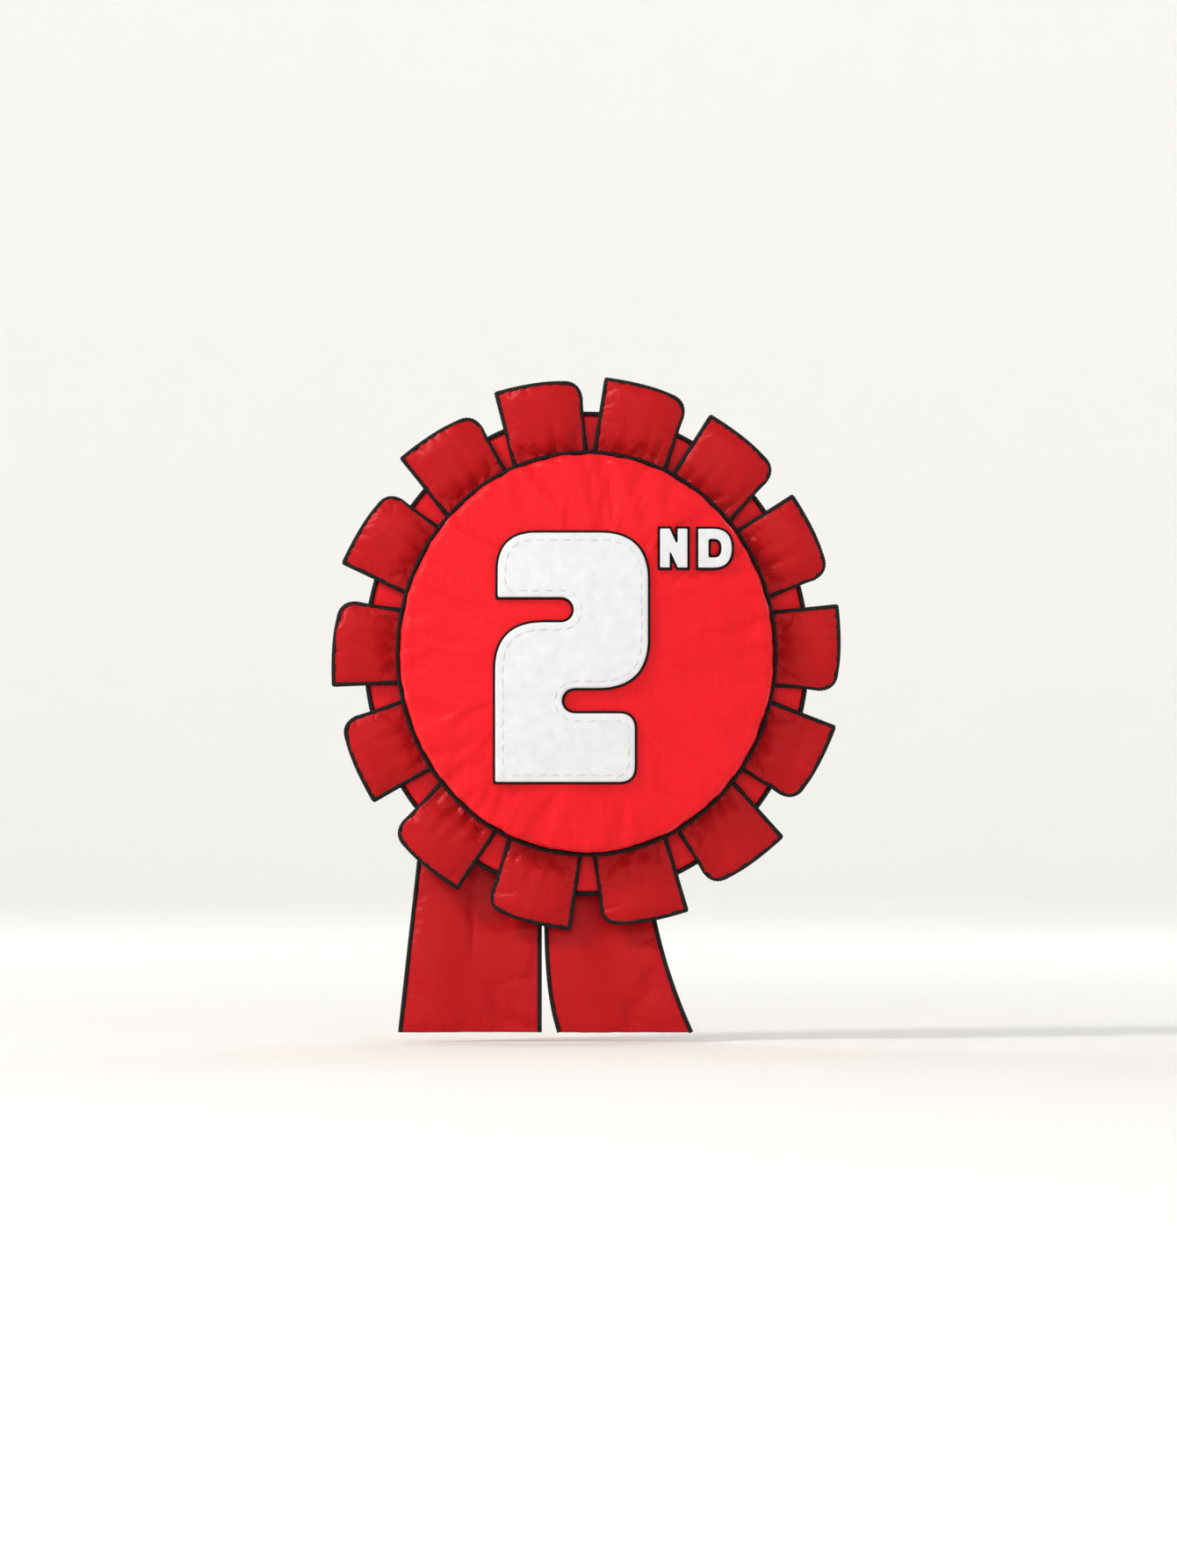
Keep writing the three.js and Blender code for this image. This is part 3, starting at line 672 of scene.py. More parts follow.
def dressed(piece, body, material, slot, node, sharp=CREASE):
    """Finishes a piece whose mesh is already in the row frame."""
    piece.data.materials.clear()
    piece.data.materials.append(material)
    piece.data.shade_smooth()
    piece.data.set_sharp_from_angle(angle=sharp)
    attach(piece, body)
    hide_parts(node)
    return piece


def reach_of_oval(radius, oval, angle):
    """Distance from the middle to an oval, in a direction."""
    return radius * oval / math.hypot(oval * math.cos(angle), math.sin(angle))


def let_settle(points, faces, held, growth, pressure, stiffness=30.0, bending=0.15):
    """Simulates cloth that is cut too big by a share, held at some of its points and pressed out from
    behind. It is run twenty times as large, where the solver is steady. Gives the points' new places."""
    scale = 20.0
    mesh = bpy.data.meshes.new("cloth")
    mesh.from_pydata([p * scale for p in points], [], faces)
    sheet = bpy.data.objects.new("cloth", mesh)
    bpy.context.scene.collection.objects.link(sheet)
    sheet.vertex_groups.new(name="held").add(held, 1.0, "REPLACE")
    settings = sheet.modifiers.new("Cloth", "CLOTH").settings
    settings.quality = 5
    settings.mass = 0.2
    settings.tension_stiffness = stiffness
    settings.compression_stiffness = stiffness
    settings.shear_stiffness = stiffness * 0.4
    settings.bending_stiffness = bending
    settings.shrink_min = -growth
    settings.vertex_group_mass = "held"
    settings.use_pressure = True
    settings.uniform_pressure_force = pressure
    settings.effector_weights.gravity = 0.0
    scene = bpy.context.scene
    for step in range(1, 21):
        scene.frame_set(step)
    settle(sheet)
    places = [v.co / scale for v in sheet.data.vertices]
    bpy.data.objects.remove(sheet)
    scene.frame_set(1)
    return places


# ---------------------------------------------------------------------------------------------
# The stage


def pale_cove(colours):
    """A round pale floor that curves up into a low wall far away on every side."""
    floor_level = CAD_BOX[0].z - 2 * MM
    flat, bend, rim = 1.9, 0.6, 2.8
    steps = 128
    profile = [(0.5, floor_level), (flat, floor_level)]
    profile += [
        (flat + bend * math.sin(a), floor_level + bend * (1 - math.cos(a)))
        for a in [math.pi / 2 * k / 20 for k in range(1, 21)]
    ]
    profile.append((flat + bend, rim))
    angles = [TURN * k / steps for k in range(steps)]
    points = [(r * math.cos(a), r * math.sin(a), z) for r, z in profile for a in angles]
    mesh = bpy.data.meshes.new("floor")
    rings = [face[::-1] for face in grid_faces(len(profile), steps, wrap=True)]
    mesh.from_pydata(points, [], [tuple(range(steps)), *rings])
    mesh.shade_smooth()
    mesh.materials.append(seamless_paper("Seamless paper", colours.floor))
    floor = bpy.data.objects.new("floor", mesh)
    bpy.context.scene.collection.objects.link(floor)


def soft_light(name, place, aim, size, power, warmth="#FFFFFF"):
    data = bpy.data.lights.new(name, "AREA")
    data.shape = "DISK"
    data.size = size
    data.energy = power
    data.color = hex_colour(warmth)
    lamp = bpy.data.objects.new(name, data)
    lamp.location = place
    lamp.rotation_euler = (Vector(aim) - Vector(place)).to_track_quat("-Z", "Y").to_euler()
    bpy.context.scene.collection.objects.link(lamp)


class ROSETTE_OT_stage(bpy.types.Operator):
    """Make the camera, the pale floor and the soft studio lights"""

    bl_idname = "rosette.stage"
    bl_label = "Stage"

    def execute(self, context):
        scene = context.scene
        data = bpy.data.cameras.new("camera")
        distance = 1.4
        view_height = 312.6 * MM  # the height that the picture takes in, at the petals
        data.sensor_fit = "VERTICAL"
        data.sensor_height = 36
        data.sensor_width = 36
        data.lens = data.sensor_height * distance / view_height
        camera = bpy.data.objects.new("camera", data)
        camera.location = (0.4 * MM, -PETAL_FRONT - distance, -26 * MM)
        camera.rotation_euler = (math.pi / 2, 0, 0)
        scene.collection.objects.link(camera)
        scene.camera = camera

        pale_cove(scene.rosette_colours)
        middle = (0, 0, -0.01)
        soft_light("key", (-0.8, -0.55, 0.75), middle, 0.26, 7.5, "#FFFBF6")
        soft_light("sheen", (-0.2, -1.25, 0.4), middle, 0.16, 1.0)
        soft_light("fill", (0.8, -0.8, 0.4), middle, 0.7, 0.5, "#F7FAFF")
        soft_light("top", (0.15, -0.05, 1.0), middle, 0.5, 0.5)
        soft_light("back_left", (-0.7, 0.8, 0.5), middle, 0.6, 2.2)
        soft_light("back_right", (0.6, 0.8, 0.4), middle, 0.6, 1.8)
        for k in range(4):
            away = Vector((math.cos(TURN * k / 4), math.sin(TURN * k / 4), 0))
            place = away * 1.2 + Vector((0, 0, 1.6))
            soft_light(f"wall_wash_{k + 1}", place, away * 2.5 + Vector((0, 0, 0.5)), 1.2, 15.0)

        world = bpy.data.worlds.new("studio")
        world.use_nodes = True
        world.node_tree.nodes["Background"].inputs["Color"].default_value = rgba(hex_colour("#F7F8FA"))
        world.node_tree.nodes["Background"].inputs["Strength"].default_value = 0.2
        scene.world = world
        scene.view_settings.view_transform = "Standard"
        return {"FINISHED"}


# ---------------------------------------------------------------------------------------------
# Petals


def petal_bearing(sizes, index):
    """Direction of a petal from the middle, anticlockwise from the right; index may lie between two."""
    even = TURN * index / sizes.petal_count
    on_oval = math.atan2(sizes.spacing_oval * math.sin(even), math.cos(even))
    turn = on_oval + sizes.hand_set_shift + sizes.hand_set_drift * math.cos(even + sizes.hand_set_phase)
    return turn + TURN * math.floor(index / sizes.petal_count + 0.5)


def petal_edges(sizes, bearing, inset):
    """The left, right and outer edge of a petal that points up, each a function of a share."""
    root = reach_of_oval(sizes.petal_root, BUTTON_OVAL, bearing)
    tip = reach_of_oval(sizes.petal_tip, RIBBON_OVAL, bearing) - inset
    half_root = sizes.petal_half_root - inset
    half = sizes.petal_half_tip - inset
    waist = (half_root + half) / 2 - 0.1 * MM
    belt = (root + tip) / 2
    corner = sizes.petal_round
    sharp = Vector((-half, tip + 0.3 * MM))
    crown_end = Vector((half - corner, tip - 0.1 * MM))
    side_end = Vector((half, tip - 0.5 * MM - corner))
    corner_share = 0.24

    def left(t):
        return bezier(Vector((-half_root, root)), Vector((-waist, belt)), sharp, t)

    def right(t):
        return bezier(Vector((half_root, root)), Vector((waist, belt)), side_end, t)

    def outer(s):
        if s < 1 - corner_share:
            return bezier(sharp, Vector((0, tip + sizes.petal_crown)), crown_end, s / (1 - corner_share))
        share = (s - 1 + corner_share) / corner_share
        return bezier(crown_end, Vector((half + 0.1 * MM, tip - 0.4 * MM)), side_end, share)

    return left, right, outer


def petal_surface(sizes, index):
    """The surface of a petal, as a function of the shares across and along it. It gives the point as seen
    from the front and its place on the ribbon."""
    bearing = petal_bearing(sizes, index)
    left, right, outer = petal_edges(sizes, bearing, sizes.edging_width / 2)
    chance = random.Random(100 + index)
    arch = sizes.petal_arch * chance.uniform(0.85, 1.15)
    lean = chance.uniform(-0.35, 0.35) * MM
    lift = chance.uniform(-0.1, 0.5) * MM
    curl = chance.uniform(0.3, 0.8) * MM
    creases = [
        (
            0.5 + (k - 1.5) * 0.23 + chance.uniform(-0.05, 0.05),
            chance.uniform(0.35, 0.75) * MM,
            chance.uniform(0.035, 0.06),
        )
        for k in range(4)
    ]
    level = PETAL_REAR + sizes.edging_height / 2 + 0.1 * MM
    corners = (left(0), right(0), outer(0), outer(1))

    def at(s, t):
        root = corners[0] * (1 - s) + corners[1] * s
        flat = left(t) * (1 - s) + right(t) * s + root * (1 - t) + outer(s) * t
        flat -= root * (1 - t) + (corners[2] * (1 - s) + corners[3] * s) * t
        across = 2 * s - 1
        rise = arch * (1 - across * across) * (0.4 + 0.6 * smoothstep(0.05, 0.45, t))
        rise += lean * across * t + lift * t * t - curl * t**4
        for place, depth, width in creases:
            spread = width * (1 + 2.2 * t)
            inside = (1 - across**4) * (1 - smoothstep(0.1, 0.9, t))
            rise -= depth * math.exp(-(((s - place) / spread) ** 2)) * inside
        rise += 0.12 * MM * noise.noise(Vector((s * 3.1, t * 2.3, index * 7.7))) * (1 - across**4)
        x = flat.x * math.sin(bearing) + flat.y * math.cos(bearing)
        up = -flat.x * math.cos(bearing) + flat.y * math.sin(bearing)
        return Vector((x, up, level + rise)), (flat.x, flat.y)

    return at


def puffed(grids, across, along, growth, pressure, limit):
    """The points of ribbons that are a little too long, pressed out between their edges."""
    faces, held = [], []
    size = across * along
    for n in range(len(grids)):
        faces += [tuple(v + n * size for v in face) for face in grid_faces(along, across)]
        held += [
            n * size + r * across + c
            for r in range(along)
            for c in range(across)
            if r in (0, along - 1) or c in (0, across - 1)
        ]
    before = [p for grid in grids for p in grid]
    after = let_settle(before, faces, held, growth, pressure, bending=0.04)
    moved = []
    for a, b in zip(before, after):
        step = b - a
        moved.append(a + step * min(1.0, limit / max(step.length, 1e-9)))
    return [moved[n * size : (n + 1) * size] for n in range(len(grids))]


class ROSETTE_OT_petals(bpy.types.Operator):
    """Make the ribbon petals and their overlocked edgings"""

    bl_idname = "rosette.petals"
    bl_label = "Petals"

    def execute(self, context):
        sizes = context.scene.rosette_sizes
        across, along = 40, 44
        surfaces = [petal_surface(sizes, index) for index in range(sizes.petal_count)]
        shares = [(c / (across - 1), r / (along - 1)) for r in range(along) for c in range(across)]
        flat = [[at(s, t)[0] for s, t in shares] for at in surfaces]
        grids = puffed(flat, across, along, growth=0.035, pressure=2.5, limit=0.8 * MM)
        for index, at in enumerate(surfaces):
            number = f"{index + 1:02d}"
            panel = new_piece(
                f"petal_{number}_ribbon",
                grids[index],
                grid_faces(along, across),
                "rosette",
                dark_satin(),
                [f"petal_{number}"],
                [at(s, t)[1] for s, t in shares],
            )
            thicken(panel, 2 * sizes.ribbon_thickness)
            steps = 60
            path = [at(1, k / steps)[0] for k in range(steps)]
            path += [at(1 - k / steps, 1)[0] for k in range(steps)]
            path += [at(0, 1 - k / steps)[0] for k in range(steps + 1)]
            names = f"petal_{number}_overlock", f"petal_edging_{number}"
            edging = overlocked_piece(*names, "rosette", path, sizes)
            length_along = (at(0.5, 1)[0] - at(0.5, 0)[0]).length
        return {"FINISHED"}


# ---------------------------------------------------------------------------------------------
# The ring of ribbon under the petals


def pleat_height(share):
    """Height of the box pleats: low under a petal, at a whole share, and high in the gap between two."""
    away = abs((share + 0.5) % 1.0 - 0.5)
    return 0.36 * MM * (smoothstep(0.17, 0.24, away) - 0.5)


def under_ring_point(sizes, index, radius):
    bearing = petal_bearing(sizes, index)
    reach = reach_of_oval(radius, RIBBON_OVAL, bearing)
    sag = 0.1 * MM * noise.noise(Vector((index * 1.3, radius / MM * 0.15, 4.4)))
    out = (UNDER_REAR + UNDER_FRONT) / 2 + pleat_height(index) + sag
    return Vector((reach * math.cos(bearing), reach * math.sin(bearing), out))


class ROSETTE_OT_under_ribbon(bpy.types.Operator):
    """Make the pleated bright ribbon that shows between the petals, and its edging"""

    bl_idname = "rosette.under_ribbon"
    bl_label = "Under ribbon"

    def execute(self, context):
        sizes = context.scene.rosette_sizes
        outer = UNDER_HALF[0] - sizes.edging_width / 2
        inner = half_size("under_ribbon")[0] * 0.69
        rings, steps = 14, 40
        columns = sizes.petal_count * steps
        points, places = [], []
        for r in range(rings):
            radius = inner + (outer - inner) * r / (rings - 1)
            for c in range(columns):
                points.append(under_ring_point(sizes, c / steps, radius))
                places.append((radius, c / steps * outer * TURN / sizes.petal_count))
        ring = new_piece(
            "under_ribbon_pleated",
            points,
            [face[::-1] for face in grid_faces(rings, columns, wrap=True)],
            "rosette",
            bright_satin(),
            ["under_ribbon"],
            places,
        )
        thicken(ring, sizes.ribbon_thickness)
        path = [under_ring_point(sizes, c / steps, outer) for c in range(columns)]
        names = "under_ribbon_overlock", "under_ribbon_edging"
        edging = overlocked_piece(*names, "rosette", path, sizes, closed=True)
        return {"FINISHED"}


# ---------------------------------------------------------------------------------------------
# Cards and glue


def back_card_outline(half_width, half_height, foot, corner):
    """An oval that is cut straight across its foot, with two small rounded corners."""
    cut = math.asin(foot / half_height)
    count = 180
    angles = [cut + (math.pi - 2 * cut) * k / count for k in range(count + 1)]
    arc = [Vector((half_width * math.cos(a), half_height * math.sin(a))) for a in angles]
    result = [p for p in arc if p.y > foot + corner]
    for a, tip, b in (
        (result[-1], arc[-1], arc[-1] + Vector((corner, 0))),
        (arc[0] - Vector((corner, 0)), arc[0], result[0]),
    ):
        result += [bezier(a, tip, b, k / 8) for k in range(1 if a is result[-1] else 0, 9)]
    return result[:-1]


class ROSETTE_OT_cards(bpy.types.Operator):
    """Make the ring card, the back card and the glue between them"""

    bl_idname = "rosette.cards"
    bl_label = "Cards and glue"

    def execute(self, context):
        rear, face = layer("ring_card")
        profile = disc_profile(half_size("ring_card")[0], rear, face, 0.25 * MM)
        oval_turned("ring_card_board", profile, greyboard(), "greyboard", "ring_card")

        low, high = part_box("back_card")
        rear, face = layer("back_card")
        outline = back_card_outline(half_size("back_card")[0], high.z, low.z, 2.5 * MM)
        plate("back_card_board", outline, rear, face, 0.22 * MM, greyboard(), "greyboard", "back_card")

        low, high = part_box("card_glue_pad")
        rear, face = layer("card_glue_pad")
        middle = low.z
        reach = (high.x, high.z - low.z)
        outline = []
        for k in range(140):
            angle = TURN * k / 140
            wobble = 1 + 0.04 * noise.noise(Vector((math.cos(angle) * 3, math.sin(angle) * 3, 2)))
            flatten = 1.0 if math.sin(angle) > 0 else 0.08
            up = middle + 2 * MM + reach[1] * 0.93 * math.sin(angle) * flatten * wobble
            outline.append(Vector((reach[0] * 0.98 * math.cos(angle) * wobble, up)))
        level = rear - 0.3 * MM, face + 0.3 * MM
        plate("card_glue", outline, *level, 0.8 * MM, glue(), "hot_melt_glue", "card_glue_pad")

        rear, face = layer("button_glue_pad")
        radius = half_size("button_glue_pad")[0]
        profile = disc_profile(radius, rear - 0.3 * MM, face + 0.3 * MM, 0.7 * MM)

        def spread(angle, at_radius, out, from_middle):
            place = Vector((math.cos(angle) * 2, math.sin(angle) * 2, 9))
            return 0.05 * at_radius * noise.noise(place), 0.0

        oval_turned("button_glue", profile, glue(), "hot_melt_glue", "button_glue_pad", ruffle=spread)
        return {"FINISHED"}


# ---------------------------------------------------------------------------------------------
# The padded button


def face_height(sizes, radius, cover_radius):
    """Height of the button's crowned face at a distance from its middle, measured across its width."""
    share = radius / cover_radius
    return BUTTON_FRONT - sizes.button_crown * share * share


def domed_profile(sizes, radius, depth, wall, foot, turn_in, shoulder=1.6 * MM):
    """Closed profile of a domed shell that is open at the rear, from its foot outwards and round."""
    steps = 40
    side = [(radius - wall, foot), (radius, foot)]
    if turn_in:
        side = [(radius - turn_in, foot + wall), (radius - turn_in, foot), (radius, foot)]
    cover = COVER_HALF[0]
    bend_start = face_height(sizes, radius - shoulder, cover) - depth
    corner = Vector((radius, bend_start))
    below = Vector((radius, bend_start - shoulder))
    within = Vector((radius - shoulder, bend_start))
    bend = [tuple(bezier(below, corner, within, k / 8)) for k in range(9)]
    crown = [
        (r, face_height(sizes, r, cover) - depth)
        for r in [(radius - shoulder) * (1 - k / steps) for k in range(1, steps + 1)]
    ]
    inside_radius = radius - wall
    inside = [(r, out - wall) for r, out in reversed(crown) if r < inside_radius - shoulder * 0.6]
    inner_top = inside[-1]
    edge = Vector((inside_radius, inner_top[1]))
    low_edge = Vector((inside_radius, inner_top[1] - shoulder * 0.8))
    under = [tuple(bezier(Vector(inner_top), edge, low_edge, k / 6)) for k in range(1, 7)]
    end = [(inside_radius, foot + wall)] if turn_in else []
    return side + bend + crown + inside + under + end


def finer(profile, step):
    """A profile with no stretch longer than a step."""
    result = []
    for i, point in enumerate(profile):
        after = profile[(i + 1) % len(profile)]
        result.append(tuple(point))
        if point[0] < 1e-7 and after[0] < 1e-7:
            continue
        count = int(math.dist(point, after) / step)
        result += [tuple(Vector(point).lerp(Vector(after), k / (count + 1))) for k in range(1, count + 1)]
    return result


def ring_shifts(before, after, steps, limit):
    """How far each point of each ring moved, as (radius, out), without the whole ring's own movement."""
    table = []
    for start in range(1, len(before), steps):
        moves = []
        for a, b in zip(before[start : start + steps], after[start : start + steps]):
            away = Vector((a.x, a.y, 0)).normalized()
            moves.append(((b - a).dot(away), b.z - a.z))
        mean = [sum(m[i] for m in moves) / steps for i in (0, 1)]
        table.append([[max(-limit, min(limit, m[i] - mean[i])) for i in (0, 1)] for m in moves])
    return table


def pulled_over_wadding(profile, oval):
    """Simulates satin that is cut too big, held at its foot and pressed out by the wadding. Gives
    its wrinkles, as a function of direction and of the distance from the middle along the cloth."""
    steps = 224
    line, total = resampled([Vector((r, out, 0)) for r, out in profile], 0.85 * MM)
    rings = line[1:]
    points = [Vector((0, 0, line[0].y))]
    for ring, p in enumerate(rings):
        for k in range(steps):
            angle = TURN * k / steps
            place = Vector((math.cos(angle) * 9, math.sin(angle) * 9, ring * 0.4))
            rough = 0.03 * MM * noise.noise(place)
            points.append(Vector((p.x * math.cos(angle), oval * p.x * math.sin(angle), p.y + rough)))
    faces = [(0, 1 + k, 1 + (k + 1) % steps) for k in range(steps)]
    faces += [tuple(v + 1 for v in face[::-1]) for face in grid_faces(len(rings), steps, wrap=True)]
    low_rings = [r for r, p in enumerate(rings) if p.y < BUTTON_REAR + 1.6 * MM]
    foot = [1 + r * steps + k for r in low_rings for k in range(steps)]
    after = let_settle(points, faces, foot, growth=0.03, pressure=3.0)
    table = ring_shifts(points, after, steps, 0.45 * MM)

    def wrinkle(angle, distance):
        ring = min(len(table) - 1.001, max(0.0, distance / total * len(rings) - 1))
        turn = angle / TURN * steps
        r, k = int(ring), int(turn)
        u, v = ring - r, turn - k
        corners = [table[ring_at][side % steps] for ring_at in (r, r + 1) for side in (k, k + 1)]
        weights = [(1 - u) * (1 - v), (1 - u) * v, u * (1 - v), u * v]
        return tuple(sum(w * c[i] for w, c in zip(weights, corners)) for i in (0, 1))

    return wrinkle


class ROSETTE_OT_button(bpy.types.Operator):
    """Make the button: back plate, pressed shell, wadding, satin cover and piping"""

    bl_idname = "rosette.button"
    bl_label = "Button"

    def execute(self, context):
        sizes = context.scene.rosette_sizes
        rear, face = layer("button_back_plate")
        radius = half_size("button_back_plate")[0]
        profile = disc_profile(radius, rear, face, 0.3 * MM)
        oval_turned("button_back_board", profile, greyboard(), "greyboard", "button_back_plate")

        shell_rear = layer("button_shell")[0]
        tinplate = plated_steel("Pressed tinplate", hex_colour("#B9BBBC"), 0.28, 0.42)
        reach = half_size("button_shell")[0]
        profile = domed_profile(sizes, reach, 2.7 * MM, 0.8 * MM, shell_rear, 0, 1.1 * MM)
        oval_turned("button_pressed_shell", profile, tinplate, "tinplate", "button_shell")

        def clumps(angle, at_radius, out, from_middle):
            scaled = at_radius / MM * 0.3
            place = Vector((scaled * math.cos(angle), scaled * math.sin(angle), out / MM))
            return 0.0, 0.12 * MM * noise.noise(place)

        wadding_radius = half_size("button_padding")[0]
        reach = wadding_radius - 0.8 * MM
        crown = [(r, face_height(sizes, r, COVER_HALF[0])) for r in [reach * k / 40 for k in range(41)]]
        profile = [(r, out - 2.4 * MM) for r, out in crown]
        profile += [(wadding_radius, crown[-1][1] - 2.0 * MM), (wadding_radius, crown[-1][1] - 1.4 * MM)]
        profile += [(r, out - 0.9 * MM) for r, out in reversed(crown)]
        fibre = wadding_fibre("Polyester wadding")
        wadding = oval_turned(
            "button_wadding", profile, fibre, "wadding", "button_padding", ruffle=clumps
        )

        cover_radius = PIPING_HALF[0] - (PIPING_FRONT - PIPING_REAR) + 0.1 * MM
        outside = domed_profile(sizes, cover_radius, 0.0, 0.5 * MM, BUTTON_REAR, 2.6 * MM, 2.0 * MM)
        profile = finer(outside, 0.48 * MM)
        outside = outside[1 : [p[0] < 1e-7 for p in outside].index(True) + 1]
        wrinkle = pulled_over_wadding(outside[::-1], BUTTON_OVAL)

        def gathers(angle, at_radius, out, from_middle):
            """Small folds where the satin is pulled round the shoulder, and soft dimples elsewhere."""
            wrinkle_shift, wrinkle_lift = wrinkle(angle, from_middle)
            near_rim = smoothstep(cover_radius - 5.0 * MM, cover_radius - 0.4 * MM, at_radius)
            ring = Vector((math.cos(angle), math.sin(angle), 0))
            fold = noise.noise(ring * 26) + 0.5 * noise.noise(ring * 57 + Vector((5, 1, 3)))
            dimple = noise.noise(Vector((at_radius / MM * ring.x, at_radius / MM * ring.y, 3.0)) * 0.085)
            free = smoothstep(BUTTON_REAR + 1 * MM, BUTTON_REAR + 3 * MM, out)
            pulled = near_rim * (1 - smoothstep(cover_radius - 0.6 * MM, cover_radius, at_radius))
            return (
                0.06 * MM * fold * near_rim * free + 0.35 * wrinkle_shift * free,
                0.12 * MM * fold * pulled + 0.28 * MM * dimple * (1 - near_rim) + wrinkle_lift * free,
            )

        cover = oval_turned(
            "button_satin_cover",
            profile,
            bright_satin(),
            "bright_red_satin",
            "button_cover",
            steps=384,
            ruffle=gathers,
            uvs=True,
        )
        self.add_piping(sizes)
        return {"FINISHED"}

    def add_piping(self, sizes):
        """A cord of three strands laid together, round the foot of the button."""
        thickness = PIPING_FRONT - PIPING_REAR
        middle = PIPING_HALF[0] - thickness / 2
        level = (PIPING_FRONT + PIPING_REAR) / 2
        ring = [
            Vector((middle * math.cos(a), middle * BUTTON_OVAL * math.sin(a), level))
            for a in [TURN * k / 720 for k in range(720)]
        ]
        lay = 2.8 * MM
        line, total = resampled(ring, lay / 14, closed=True)
        turns = round(total / lay)
        strand_radius = thickness * 0.29
        offset = thickness / 2 - strand_radius
        points, faces = [], []

        def strand_section(i, angle):
            return strand_radius * math.cos(angle), strand_radius * math.sin(angle)

        for strand in range(3):
            path = []
            for i, centre in enumerate(line):
                phase = TURN * (turns * i / len(line) + strand / 3)
                outward = Vector((centre.x, centre.y, 0)).normalized()
                lifted = Vector((0, 0, offset * math.sin(phase)))
                path.append(centre + outward * offset * math.cos(phase) + lifted)
            tube, quads = swept(path, strand_section, 8, closed=True)
            faces += [tuple(v + len(points) for v in quad) for quad in quads]
            points += tube
        new_piece(
            "button_piping_cord",
            points,
            faces,
            "rosette",
            wound_thread("Black twisted cord", bpy.context.scene.rosette_colours.black),
            ["button_piping"],
            sharp=ROUND,
        )


# ---------------------------------------------------------------------------------------------
# The numeral and the letters


def arc(centre, radius, start, end, steps=12):
    return [
        Vector((centre[0] + radius * math.cos(a), centre[1] + radius * math.sin(a)))
        for a in [math.radians(start + (end - start) * k / steps) for k in range(steps + 1)]
    ]


def rounded_corner(a, corner, b, steps=10):
    return [bezier(Vector(a), Vector(corner), Vector(b), k / steps) for k in range(steps + 1)]


def figure_two():
    """A plain block two: straight bars with rounded corners and a slot from either side, in mm."""
    line = [Vector((-18.1, -25.6))]
    line += rounded_corner((6.4, -25.6), (9.6, -25.6), (9.6, -22.4))
    line += rounded_corner((9.6, -15.2), (9.6, -12), (6.4, -12))
    line += arc((-2.4, -9.5), 2.5, -90, -270)
    line += rounded_corner((2.2, -7), (12.2, -7), (12.2, 3), 16)
    line += rounded_corner((12.2, 14.3), (12.2, 23.8), (2.7, 23.8), 16)
    line += rounded_corner((-10, 23.8), (-17.6, 23.8), (-17.6, 16.2), 12)
    line += [Vector((-17.6, 11))]
    line += arc((-5, 8.5), 2.5, 90, -90)
    line += rounded_corner((-8.6, 6), (-18.1, 6), (-18.1, -3.5), 16)
    return line


def letter_n(x, y, width, height, stroke):
    right, top, drop = x + width, y + height, stroke * 2.2
    return [
        Vector(p)
        for p in (
            (x, y),
            (x + stroke, y),
            (x + stroke, top - drop),
            (right - stroke, y),
            (right, y),
            (right, top),
            (right - stroke, top),
            (right - stroke, y + drop),
            (x + stroke, top),
            (x, top),
        )
    ]


def letter_d(x, y, width, height):
    belly = width * 0.55
    right, top = x + width, y + height
    line = [Vector((x, y))]
    line += rounded_corner((right - belly, y), (right, y), (right, y + height / 2))
    line += rounded_corner((right, y + height / 2), (right, top), (right - belly, top))[1:]
    return line + [Vector((x, top))]


def felt_piece(name, loops, low, high, voxel, material, slot, node):
    """A die-cut piece of felt that follows the button's face. The loops are in mm."""
    sizes = bpy.context.scene.rosette_sizes
    piece = prism(name, loops, high - low)
    remesh = piece.modifiers.new("Felt", "REMESH")
    remesh.mode = "VOXEL"
    remesh.voxel_size = voxel
    soften = piece.modifiers.new("Soft edge", "SMOOTH")
    soften.iterations = 3
    soften.factor = 0.5
    settle(piece)
    for v in piece.data.vertices:
        x, up, out = v.co
        radius = math.hypot(x, up / BUTTON_OVAL)
        fuzz = 0.035 * MM * noise.noise(Vector((x, up, out)) / (0.5 * MM))
        v.co = front(x, up, out + fuzz + low + face_height(sizes, radius, COVER_HALF[0]))
    return dressed(piece, "rosette", material, slot, node)


def running_stitches(name, outline, inset, spacing, stitch, height, material):
    """Short stitches just inside a character's edge, sunk into the felt."""
    sizes = bpy.context.scene.rosette_sizes
    line = [Vector((p.x, p.y, 0)) for p in shifted(outline, inset)]
    marks, _ = resampled(line, spacing, closed=True)
    points, faces = [], []
    rings, sides, thick = 7, 8, 0.2
    for i, middle in enumerate(marks):
        along = (marks[(i + 1) % len(marks)] - marks[i - 1]).normalized()
        side = Vector((-along.y, along.x, 0))
        start = len(points)
        for r in range(rings):
            share = r / (rings - 1) * 2 - 1
            girth = thick * math.sqrt(max(0.05, 1 - share * share))
            for k in range(sides):
                angle = TURN * k / sides
                p = (middle + along * share * stitch / 2 + side * girth * math.cos(angle)) * MM
                radius = math.hypot(p.x, p.y / BUTTON_OVAL)
                out = face_height(sizes, radius, COVER_HALF[0]) + height + girth * MM * math.sin(angle)
                points.append((p.x, p.y, out))
        faces += [tuple(v + start for v in quad) for quad in grid_faces(rings, sides, wrap=True)]
        faces += [tuple(start + k for k in range(sides))[::-1]]
        faces += [tuple(start + (rings - 1) * sides + k for k in range(sides))]
    return new_piece(name, points, faces, "rosette", material)


